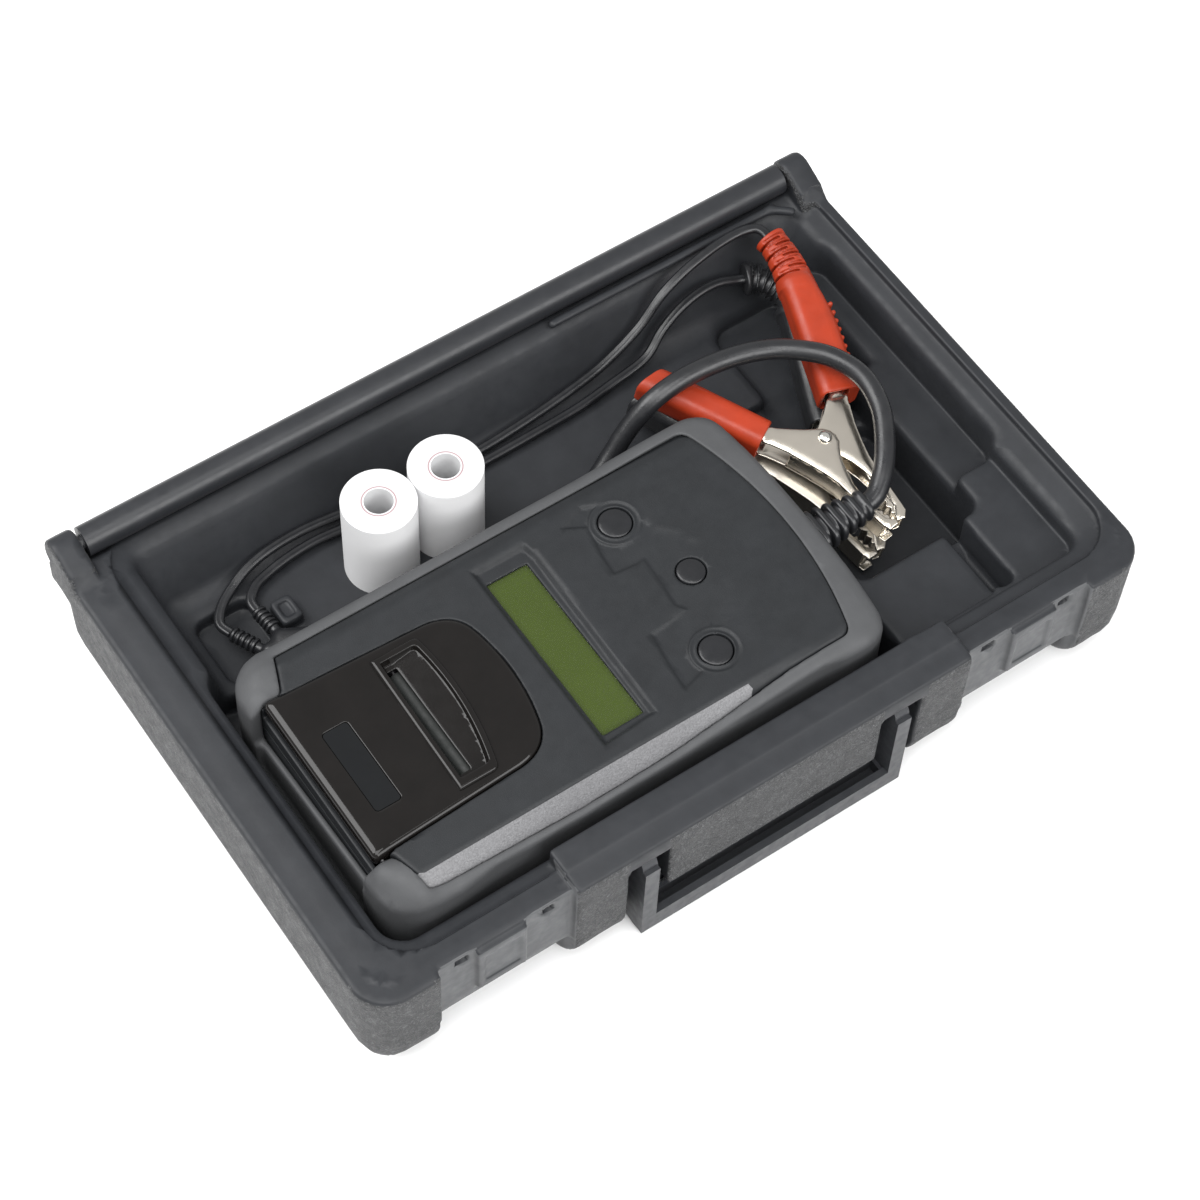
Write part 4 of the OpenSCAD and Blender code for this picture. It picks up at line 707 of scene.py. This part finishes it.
def make_shell():
    F = Field((-145, -79, 46), (143, 79, 73), 0.6 * FINE)
    def body(X, Y, Z):
        low = smax(plan2(X, Y), Z - boot_top(X, Y) + 2.75, 0.4)
        up = smax(seam2(X, Y, 0.3), Z - shell_top(X, Y), 2.2)
        return smax(np.minimum(low, up), 48.05 - Z, 0.3)
    F.add(body)
    F.cut(lambda X, Y, Z: np.maximum(np.maximum(plan2(X, Y, 2.8), Z - 62.0), Z - boot_top(X, Y) + 5.2), 0.5)
    # shallow sculpted field round the keys, soft towards the display, fading out on the far side
    relief = [(37, 56.5), (48, 50.5), (44.5, 32), (43.5, 20), (50, 19.2), (57, 18.4), (61, 19), (60.4, 6), (58.6, -12), (61.8, -16.6), (50, -18.6), (39, -19.6), (36, -40), (35, -54), (48, -50.4), (56, -40), (72, -34), (84, -26), (90, -12), (91.5, 4), (87, 18), (80, 28), (72, 40), (66, 56), (52, 62)]
    field = poly2(F.ax[0][:, None], F.ax[1][None, :], relief)[:, :, None]
    sm = np.clip(-field / 2.8 + 0.5, 0, 1)
    depth = sm * sm * (3 - 2 * sm) * 1.6 * np.clip((94 - F.ax[0]) / 40, 0.25, 1)[:, None, None]
    k = ((30, -70, 62), (100, 70, 73))
    sl = F._cut(k)
    F.cut(lambda X, Y, Z: np.maximum(70 - depth[sl[0], sl[1]] - Z, np.abs(X - 64) - 32), 0.35, k)
    for kx, ky, kr in KEYS:
        d = lambda X, Y, kx=kx, ky=ky: np.sqrt((X - kx) ** 2 + (Y - ky) ** 2)
        bb = ((kx - 20, ky - 20, 46), (kx + 20, ky + 20, 73))
        if kr > 8:
            F.add(lambda X, Y, Z: smax(smax(d(X, Y) - 13.6, Z - 69.75, 1.4), 66 - Z, 1), 1.0, bb)
            F.cut(lambda X, Y, Z: np.sqrt((d(X, Y) - 11.4) ** 2 + (Z - 70.7) ** 2) - 1.5, 0.5, bb)
        F.cut(lambda X, Y, Z: np.maximum(d(X, Y) - kr - 0.45, 50 - Z), 0.6, bb)
    # display bezel with sloping sides
    def bez(X, Y, Z):
        d2 = poly2(X[:, :, 0], Y[:, :, 0], [(-16, 59.8), (16, 59.8), (18, 51.3), (16, -57.2), (-16, -59.2)])[:, :, None]
        return np.maximum(d2 + np.clip(70 - Z, 0, 4) * 0.9, 67.2 - Z)
    F.cut(bez, 0.5, ((-25, -68, 60), (28, 68, 73)))
    F.cut(rbox(-12.5, 11.5, -52.5, 50.5, 55, 80, 0.6), 0.4, ((-20, -60, 50), (20, 60, 73)))
    # door seat
    F.cut(lambda X, Y, Z: np.maximum(door2(X, Y, -0.4), 62.4 - Z), 0.8, ((-145, -60, 50), (-20, 60, 73)))
    F.cut(lambda X, Y, Z: np.maximum(door2(X, Y, 2.6), 46 - Z), 0.4, ((-145, -60, 40), (-20, 60, 73)))
    F.cut(rbox(-150, -130, -50.8, 51.3, 57.6, 80, 1), 0.5, ((-145, -60, 50), (-110, 60, 73)))
    F.cut(lambda X, Y, Z: np.maximum(np.sqrt((Y + 5.2) ** 2 + (Z - 48) ** 2) - 7.1, 130 - X), 0, ((125, -20, 40), (143, 10, 62)))
    ob = F.mesh("top_shell_v", TEST, [M["shell"], M["shell_bevel"]], 0.08)
    me = ob.data
    n = len(me.polygons)
    c = np.empty(n * 3); me.polygons.foreach_get("center", c); c = c.reshape(-1, 3)
    u, v = c[:, 0] * 1000 + 51, c[:, 1] * 1000 + 33.8 + 7.5
    # the near bevel faces take the lighter grained material: real grain plus painted light
    bev = (v < -67.5) & (u < 62) & (u > -132) & (v > -76)
    idx = bev.astype(np.int32)
    me.polygons.foreach_set("material_index", idx)
    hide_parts("top_shell")
    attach(ob, "tester")

make_shell()

# ------------------------------------------------------------------ printer door, bezel and window
def make_door():
    F = Field((-143, -54, 58), (-27, 54, 73.5), 0.42 * FINE)
    def body(X, Y, Z):
        # broad soft shoulder round the raised panel
        q = door2(X, Y) + 3.4
        w = (Z - 72) * 1.25 + 3.4
        t = np.sqrt(np.maximum(q, 0) ** 2 + np.maximum(w, 0) ** 2) + np.minimum(np.maximum(q, w), 0) - 3.4
        return smax(t, 63.2 - Z, 0.4)
    F.add(body)
    F.add(lambda X, Y, Z: ext(rr2(X, Y, -141.4, -132, -50, 50.5, 2.6), Z, 63.2, 71.9, 3.2), 2.0)
    F.cut(lambda X, Y, Z: np.maximum(np.maximum(door2(X, Y, 2.2), Z - 69.7), -139 - X), 0.4)
    for s in (-1, 1):
        F.add(lambda X, Y, Z: np.maximum(np.sqrt((X + 136.5) ** 2 + (Z - 63.5) ** 2) - 3, np.abs(Y - s * 38) - 5), 0.5)
    F.cut(lambda X, Y, Z: np.maximum(np.sqrt((X + 136.5) ** 2 + (Z - 63.5) ** 2) - 1.56, np.abs(Y) - 60), 0)
    def slot2(X, Y, e):
        # outline of the slot surround; e: how far inside it
        a = np.maximum(-(X + 87.2 - Y * 0.02) + e, np.abs(Y + 0.4) - 42 + e)
        return smax(a, np.sqrt((X + 233) ** 2 + (Y - 12) ** 2) - 176 + e, 3)
    F.cut(lambda X, Y, Z: np.maximum(slot2(X, Y, 0.9), 60 - Z), 0.2)
    F.cut(rbox(-127.3, -112.7, -30.3, 20.3, 70.9, 80, 2), 0.3)
    F.cut(rbox(-92, -50, -46, 46, 55, 68, 1), 0.2)
    ob = F.mesh("printer_door_v", TEST, [M["gloss"]], 0.02)
    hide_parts("printer_door")
    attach(ob, "door")
    # raised slot surround with a bowed inner side, its floor falling to the paper gap
    G = Field((-93, -45.5, 67.3), (-54, 45.5, 75), 0.34 * FINE)
    G.add(lambda X, Y, Z: smax(smax(slot2(X, Y, 0), Z - 73.9, 2.2), 68.2 - Z, 0.3))
    def inner(X, Y, Z):
        d = slot2(X, Y, 3.6)
        floor = 69.2 + np.clip(X + 77, 0, 20) * 0.16
        return np.maximum(smax(d + np.clip(74 - Z, 0, 6) * 0.35, np.abs(Y - 0.4) - 37.5, 1.0), floor - Z)
    G.cut(inner, 0.5)
    G.cut(rbox(-82.3, -76.2, -33.5, 33.5, 60, 80, 1), 0.5)
    ob = G.mesh("slot_bezel_v", TEST, [M["gloss"]], 0.02)
    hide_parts("slot_bezel")
    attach(ob, "door")

make_door()

# ------------------------------------------------------------------ keys
def make_key(node, k, body):
    kx, ky, kr = k
    F = Field((kx - 12, ky - 12, 56.5), (kx + 12, ky + 12, 71.5), 0.4 * FINE)
    d = lambda X, Y: np.sqrt((X - kx) ** 2 + (Y - ky) ** 2)
    def f(X, Y, Z):
        cap = smax(smax(d(X, Y) - kr, 61 - Z, 0.2), Z - 70.5 + (d(X, Y) / kr) ** 2 * 1.2 + np.exp(-(d(X, Y) / (kr * 0.6)) ** 2) * 0.5, 1.0)
        return np.minimum(np.minimum(cap, np.maximum(d(X, Y) - 2.6, np.abs(Z - 59.2) - 2)), np.maximum(d(X, Y) - kr - 1.6, np.abs(Z - 61.5) - 0.9))
    F.add(f)
    ob = F.mesh(node + "_v", TEST, [M["key"]], 0.06)
    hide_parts(node)
    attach(ob, body)

make_key("key_left", KEYS[0], "left_key")
make_key("key_middle", KEYS[1], "middle_key")
make_key("key_right", KEYS[2], "right_key")

# ------------------------------------------------------------------ cable relief and splitter
def make_relief():
    F = Field((80, -54, -19), (135.5, -24, 3), 0.45 * FINE)
    F.add(lambda X, Y, Z: np.maximum(np.sqrt((Y + 39) ** 2 + (Z + 8) ** 2) - 7, np.abs(X - 93) - 7))
    F.add(lambda X, Y, Z: np.maximum(np.sqrt((Y + 39) ** 2 + (Z + 8) ** 2) - 9.5, np.abs(X - 84) - 2))
    F.add(lambda X, Y, Z: ext(rr2(Y, Z, -46.4, -31.6, -13.8, -2.2, 5.8), X, 99, 133.5, 0.5), 0.5)
    for i in range(6):
        w, h = 12.4 - i * 0.75, 7.4 - i * 0.12
        F.add(lambda X, Y, Z, i=i, w=w, h=h: ext(rr2(Y, Z, -39 - w, -39 + w, -8 - h, -8 + h, 6), X, 100 + i * 6, 103.4 + i * 6, 1.2), 0.6)
    F.add(lambda X, Y, Z: ext(rr2(Y, Z, -46.5, -31.5, -14, -2, 5.9), X, 129, 133.5, 1.2), 0.8)
    ob = F.mesh("cable_relief_v", RIM, [M["cord"]], 0.06)
    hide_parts("cable_relief")
    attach(ob, "tester")
    G = Field((-178, 50, -46), (-108, 97, -28), 0.5 * FINE)
    for a, b, r in (((-114, 58, -37.2), (-133, 62, -37.2), 5.3), ((-133, 62, -37.2), (-151, 73, -37.6), 5.2), ((-133, 62, -37.2), (-160, 69, -37.6), 5.2)):
        G.add(capsule(a, b, r), 5)
    G.both(lambda X, Y, Z: X + 112.0, 0.5)
    for a, b in (((-151, 76, -38), (-153, 94.5, -38.2)), ((-162, 71, -38), (-171, 90, -38.2))):
        a, b = np.array(a, float), np.array(b, float)
        G.add(capsule(a, b - (b - a) * 0.12, 2.9), 1.0)
        for t in (0.3, 0.45, 0.6, 0.75, 0.9):
            c = a + (b - a) * t
            dr = (b - a) / np.linalg.norm(b - a)
            def f(X, Y, Z, c=c, dr=dr):
                px, py, pz = X - c[0], Y - c[1], Z - c[2]
                al = px * dr[0] + py * dr[1] + pz * dr[2]
                rad = np.sqrt(np.maximum(px * px + py * py + pz * pz - al * al, 0))
                return smax(rad - 4.3, np.abs(al) - 0.9, 0.6)
            G.add(f, 0.4)
    ob = G.mesh("y_splitter_v", RIM, [M["cord"]], 0.06)
    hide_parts("y_splitter")
    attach(ob, "tester")

make_relief()

# ------------------------------------------------------------------ clamp grips
def grip_field(L, teeth, wide=9.0, h=0.55):
    """Solid moulded grip along +X from 1 to L; hollow() later opens it at the jaw end."""
    F = Field((-1, -17, -12.5), (L + 46, 50, 12.5), h * FINE)
    def body(X, Y, Z):
        t = np.clip(X / L, 0, 1)
        low = wide - (wide - 8.4) * np.clip((t - 0.55) / 0.45, 0, 1) ** 1.5
        hz = 10.6 - 0.9 * np.clip((t - 0.8) / 0.2, 0, 1)
        hw = (9.0 + low) / 2
        q1, q2 = np.abs(Y - (9.0 - low) / 2) - hw + 6.2, np.abs(Z) - hz + 6.2
        r = np.sqrt(np.maximum(q1, 0) ** 2 + np.maximum(q2, 0) ** 2) + np.minimum(np.maximum(q1, q2), 0) - 6.2
        return smax(smax(r, 1 - X, 1.2), X - L, 2.5)
    F.add(body)
    if teeth:
        for i in range(9):
            x = 12 + i * 5.2
            F.add(capsule((x, -wide + 0.1, -6), (x, -wide + 0.1, 6), 1.25), 0.5, ((x - 4, -17, -10), (x + 4, -5, 10)))
    return F

def hollow(F):
    F.cut(lambda X, Y, Z: np.maximum(ext(rr2(Y, Z, -6.7, 6.7, -8.7, 8.7, 1.6), X, -6, 62, 1), -50 - X), 0.5)
    F.both(lambda X, Y, Z: np.abs(Z) - 10.75)

def make_grips(colour):
    c, turn, bend = CLAMPS[colour]
    base = clamp_matrix(c, turn)
    MA = base @ Matrix.Translation((ARM_A[0] / 1000, ARM_A[1] / 1000, 0)) @ Matrix.Rotation(math.radians(ANG_A), 4, "Z") @ MM
    MB = base @ Matrix.Translation((ARM_B[0] / 1000, ARM_B[1] / 1000, 0)) @ Matrix.Rotation(math.radians(ANG_B), 4, "Z") @ MM
    F = grip_field(GRIP_L, True, 13.2 if colour == "red" else 10.5)
    b = math.radians(bend)
    rr = BOOTS[colour] / b
    def arc(X, Y, Z):
        px, py = X - GRIP_L, Y - rr
        ang = np.arctan2(px, -py)
        rad = np.sqrt(px * px + py * py) - rr
        dd = np.sqrt(rad * rad + Z * Z)
        return ang, rad, dd
    def sec(X, Y, Z):
        ang, rad, dd = arc(X, Y, Z)
        return ang, rad, np.sqrt(rad * rad * 0.78 + Z * Z), 9.2 - 2.0 * np.clip(ang / b, 0, 1) + 0.9 * np.clip(ang / b - 0.86, 0, 1) / 0.14
    def core(X, Y, Z):
        ang, rad, wd, R0 = sec(X, Y, Z)
        return np.maximum(smax(wd - R0, (ang - b) * rr, 1.2), -5.0 - ang * rr)
    F.add(core, 3.0)
    for i in range(7):
        a0 = b * (0.1 + i * 0.125)
        def slot(X, Y, Z, a0=a0, i=i):
            ang, rad, wd, R0 = sec(X, Y, Z)
            along = np.abs(ang - a0) * (rr + np.clip(rad, -rr * 0.8, 99)) - 0.8
            if colour == "black":
                return smax(along - 0.5, R0 - 2.2 - wd, 0.3)
            side = -2.6 - rad if i % 2 else rad - 2.6
            return smax(smax(along, R0 - 2.6 - wd, 0.3), side, 0.6)
        F.cut(slot, 0.3)
        F.cut(lambda X, Y, Z, a0=a0: smax(np.abs(arc(X, Y, Z)[0] - a0 - b * 0.06) * (rr + np.clip(arc(X, Y, Z)[1], -rr * 0.8, 99)) - 0.5, sec(X, Y, Z)[3] - 1.3 - sec(X, Y, Z)[2], 0.3) + 0.0 * Z + np.where(np.abs(Z) > 4.5, 0, 5), 0.3)
    if colour == "red":
        F.both(lambda X, Y, Z: np.where(X > GRIP_L - 6, (arc(X, Y, Z)[0] - b) * rr, -5.0), 0)
    hollow(F)
    ob = F.mesh(colour + "_fixed_grip_v", MA, [M[colour]], 0.06)
    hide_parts(colour + "_fixed_grip")
    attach(ob, "tester")
    G = grip_field(GRIP_L, False)
    hollow(G)
    # slanted open mouth at the free end of the moving grip
    G.both(lambda X, Y, Z: (X - GRIP_L) * 0.9 - (Y - 9) * 0.42, 1.0)
    G.cut(lambda X, Y, Z: ext(rr2(Y, Z, -6.2, 6.4, -8.0, 8.0, 2.5), X, 58, 90, 1), 0.5)
    ob = G.mesh(colour + "_moving_grip_v", MB, [M[colour]], 0.06)
    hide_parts(colour + "_moving_grip")
    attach(ob, colour + "_jaw")

make_grips("red")
make_grips("black")

# ------------------------------------------------------------------ jaws: pressed plates with a gentle crown falling to the edges
def along(a, ang, l, h):
    c, n = math.cos(math.radians(ang)), math.sin(math.radians(ang))
    return (a[0] + l * c + h * n, a[1] + l * n - h * c)

def strip(a, ang, l0, l1, h0, h1):
    return [along(a, ang, l0, h0), along(a, ang, l1, h0), along(a, ang, l1, h1), along(a, ang, l0, h1)]

def make_jaw(colour, kind, body):
    c, turn, bend = CLAMPS[colour]
    if kind == "fixed":
        zp, bore = 6.0, 2.5
        outl = [(-6.4, 3), (1.7, 8), (8.6, 13), (14.8, 18.5), along(ARM_A, ANG_A, 0, -4.9), along(ARM_A, ANG_A, 0, 4.9), (23.7, 9.8), (19.8, -0.4), (17.1, -10.6), (15.3, -19.3), (14.3, -36), (13.7, -55), (10.7, -58.5), (6.1, -58), (6.8, -55), (9.6, -50), (10, -37), (7.5, -25), (5.1, -18.1), (2.6, -13.2), (-3, -7), (-6.4, -3)]
        arm = strip(ARM_A, ANG_A, -2, 60, -4.5, 4.5)
        webs = [[(23.7, 9.8), (19.8, -0.4), (17.1, -10.6), (15.3, -19.3), (14.3, -36), (13.7, -55), (10.7, -58.5), (9.8, -57.2), (12.4, -54.6), (13, -36), (14, -19.2), (15.8, -10.4), (18.5, -0.1), (22.4, 10.1)], strip(ARM_A, ANG_A, 2, 60, 3.3, 4.5)]
        tip = [(11.2, -41), (7.4, -42), (5.6, -43.7), (7.8, -45.8), (5.9, -48.1), (8, -50.2), (6, -52.4), (9, -54.4), (11.2, -54)]
    else:
        zp, bore = 7.6, 2.56
        outl = [along(ARM_B, ANG_B, 0, 4.8), (-15.4, 15.4), (-6.7, 9.8), (-0.3, 6.6), (2.5, 5.1), (5.2, 2.3), (6.4, -1.2), (6, -5.1), (3.4, -9.1), (1.4, -13.4), (-0.8, -21.1), (-2, -29.3), (-2.1, -43), (1, -54), (5.4, -57.2), (5.4, -60), (-0.9, -60.9), (-2.3, -57.3), (-4.8, -47.2), (-8.7, -25), (-11.5, -17.6), (-15.5, -9.1), (-21.1, 1.7), along(ARM_B, ANG_B, 0, -4.8)]
        arm = strip(ARM_B, ANG_B, -2, 60, -4.4, 4.4)
        webs = [[(-21.1, 1.7), (-15.5, -9.1), (-11.5, -17.6), (-8.7, -25), (-4.8, -47.2), (-2.3, -57.3), (-1.1, -56.9), (-3.5, -46.9), (-7.4, -24.7), (-10.2, -17.1), (-14.3, -8.6), (-19.9, 2.3)], strip(ARM_B, ANG_B, 2, 60, -4.4, -3.2)]
        tip = [(-2.9, -46.2), (1, -46), (0, -48.2), (2.3, -49.6), (1.2, -51.8), (3.6, -53), (3, -56.4), (0, -57), (-1.8, -52)]
    xs = [p[0] for p in outl + arm]; ys = [p[1] for p in outl + arm]
    F = Field((min(xs) - 2, min(ys) - 2, -zp - 2.2), (max(xs) + 2, max(ys) + 2, zp + 2.2), 0.42 * FINE)
    X2, Y2 = F.ax[0][:, None], F.ax[1][None, :]
    disc = np.sqrt(X2 ** 2 + Y2 ** 2)
    d = smin(poly2(X2, Y2, outl), poly2(X2, Y2, arm), 2.0)
    # a gentle crown, falling towards the turned-down edges
    u = np.clip(-d / 4.6, 0, 1)
    lift = ((1 - (1 - u) ** 2) * 0.85 - 0.55)[:, :, None]
    d3 = d[:, :, None]
    wd = np.minimum(poly2(X2, Y2, webs[0]), poly2(X2, Y2, webs[1]))[:, :, None]
    td = poly2(X2, Y2, tip)[:, :, None]
    def plates(X, Y, Z):
        w = np.abs(np.abs(Z) - zp - lift) - 0.55 + 0.5
        q = d3 + 0.5
        return np.sqrt(np.maximum(q, 0) ** 2 + np.maximum(w, 0) ** 2) + np.minimum(np.maximum(q, w), 0) - 0.5
    F.add(plates)
    F.add(lambda X, Y, Z: np.maximum(wd, np.abs(Z) - zp), 0.8)
    F.add(lambda X, Y, Z: np.maximum(td, np.abs(Z) - zp + 0.4), 0.3)
    F.cut(lambda X, Y, Z: disc[:, :, None] - bore - 0.0 * Z, 0)
    # the black clamp's jaws take the darker nickel as painted shade under the red clamp
    ob = F.mesh("%s_%s_jaw_v" % (colour, kind), clamp_matrix(c, turn) @ MM, [M["nickel" if colour == "red" else "nickel_painted_shade"]], 0.04)
    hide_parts("%s_%s_jaw" % (colour, kind))
    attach(ob, body)

def make_rivet(colour):
    c, turn, bend = CLAMPS[colour]
    F = Field((-6, -6, -12), (6, 6, 12), 0.3 * FINE)
    F.add(lambda X, Y, Z: np.maximum(np.sqrt(X ** 2 + Y ** 2) - 2.5, np.abs(Z) - 9))
    for s in (-1, 1):
        F.add(lambda X, Y, Z: smax(ellipsoid((0, 0, s * 8.4), (3.8, 3.8, 2.6))(X, Y, Z), 8.5 - s * Z, 0.2))
    ob = F.mesh(colour + "_rivet_v", clamp_matrix(c, turn) @ MM, [M["nickel_bright"]], 0.02)
    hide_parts(colour + "_rivet")
    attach(ob, "tester")

for col_ in ("red", "black"):
    make_jaw(col_, "fixed", "tester")
    make_jaw(col_, "moving", col_ + "_jaw")
    make_rivet(col_)

# ------------------------------------------------------------------ roll cores
def make_core(i):
    p = ROLLS[i]
    prof = [(9.18, -43), (9.18, 14), (7.7, 14), (7.7, -43)]
    n = 96
    verts, faces = [], []
    for k in range(n):
        a = 2 * math.pi * k / n
        for r_, z_ in prof:
            verts.append(R(p[0] + r_ * math.cos(a), p[1] + r_ * math.sin(a), z_))
    for k in range(n):
        for m in range(4):
            a, b_ = k * 4 + m, k * 4 + (m + 1) % 4
            c_, d_ = ((k + 1) % n) * 4 + (m + 1) % 4, ((k + 1) % n) * 4 + m
            faces.append((a, d_, c_, b_))
    ob = new_object("spare_core_%d_v" % (i + 1), verts, faces, [M["core%d" % (i + 1)]], smooth=True)
    ob.data.set_sharp_from_angle(angle=math.radians(35))
    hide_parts("spare_core_%d" % (i + 1))
    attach(ob, "roll_%d" % (i + 1))

make_core(0)
make_core(1)

# ------------------------------------------------------------------ CAD nodes kept: finishes and softened edges
def bevel(name, w, seg=2, angle=32):
    o = N[name]
    m = o.modifiers.new("edge", "BEVEL")
    m.width = w
    m.segments = seg
    m.limit_method = "ANGLE"
    m.angle_limit = math.radians(angle)
    m.harden_normals = True

def dress(name, mat, w=0.0, seg=2):
    o = N[name]
    o.data.materials.clear()
    o.data.materials.append(M[mat])
    o.data.polygons.foreach_set("use_smooth", [True] * len(o.data.polygons))
    try:
        o.data.set_sharp_from_angle(angle=math.radians(35))
    except Exception:
        pass
    if w > 0:
        bevel(name, w, seg)

for n, m, w in [
    ("hinge_barrel", "rod", 0.0006), ("carry_handle", "handle", 0.0012), ("handle_pins", "steel", 0.0003),
    ("bottom_shell", "shell", 0.0), ("door_hinge_pin", "steel", 0.0002), ("door_window", "window", 0.0),
    ("tear_bar", "steel", 0.0), ("paper_bucket", "plastic", 0.0), ("printer_frame", "plastic", 0.0002),
    ("platen_shaft", "steel", 0.0002), ("platen_rubber", "pad", 0.0002), ("platen_gear", "gear", 0.0), ("idler_gear", "gear", 0.0),
    ("motor_pinion", "brass", 0.0), ("feed_motor", "steel", 0.0), ("thermal_head", "ceramic", 0.0002), ("loaded_paper", "paper_in", 0.0),
    ("loaded_core", "core", 0.0), ("lcd_window", "glass", 0.0), ("lcd_panel", "lcd", 0.0), ("lcd_module", "pcb", 0.0), ("main_board", "pcb", 0.0),
    ("board_screws", "steel", 0.0), ("key_mat", "pad", 0.0), ("battery_cells", "cell", 0.0), ("battery_contacts", "steel", 0.0),
    ("battery_cover", "shell", 0.0003), ("cover_screws", "steel", 0.0), ("shell_screws", "steel", 0.0),
    ("red_spring", "steel", 0.0), ("black_spring", "steel", 0.0),
    ("spare_paper_1", "paper1", 0.0004), ("spare_paper_2", "paper2", 0.0004)]:
    dress(n, m, w)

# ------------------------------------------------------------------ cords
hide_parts("main_cable")
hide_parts("red_lead")
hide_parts("black_lead")
for nme in ("main_cable_v", "red_lead_v", "black_lead_v"):
    ob, pts = cables[nme]
    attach(ob, "tester")

# ------------------------------------------------------------------ floor and light
fm = mk("floor_pale", (0.9, 0.9, 0.9), rough=0.6, var=0.004, rvar=0.02, scale=3, bump=0.01, bump_scale=200)
bpy.ops.mesh.primitive_plane_add(size=6, location=(0, 0, -0.0005))
floor = bpy.context.object
floor.name = "floor"
floor.data.materials.append(fm)

def area(name, loc, size, power, target=(0, 0, 0.04), col=(1, 1, 1)):
    ld = bpy.data.lights.new(name, "AREA")
    ld.shape = "RECTANGLE"
    ld.size, ld.size_y = size
    ld.energy = power
    ld.color = col
    o = bpy.data.objects.new(name, ld)
    bpy.context.scene.collection.objects.link(o)
    o.location = loc
    o.rotation_euler = (Vector(target) - Vector(loc)).to_track_quat("-Z", "Y").to_euler()
    return o

area("key", (-1.1, 0.8, 1.6), (1.5, 1.5), 46)
area("front", (0.4, -1.7, 1.1), (1.8, 1.1), 34)
area("top", (-0.5, -0.7, 2.0), (1.5, 1.5), 36)
w = bpy.data.worlds.new("world")
bpy.context.scene.world = w
w.use_nodes = True
w.node_tree.nodes["Background"].inputs[0].default_value = (1, 1, 1, 1)
w.node_tree.nodes["Background"].inputs[1].default_value = 0.58
bpy.context.scene.view_settings.view_transform = "Standard"
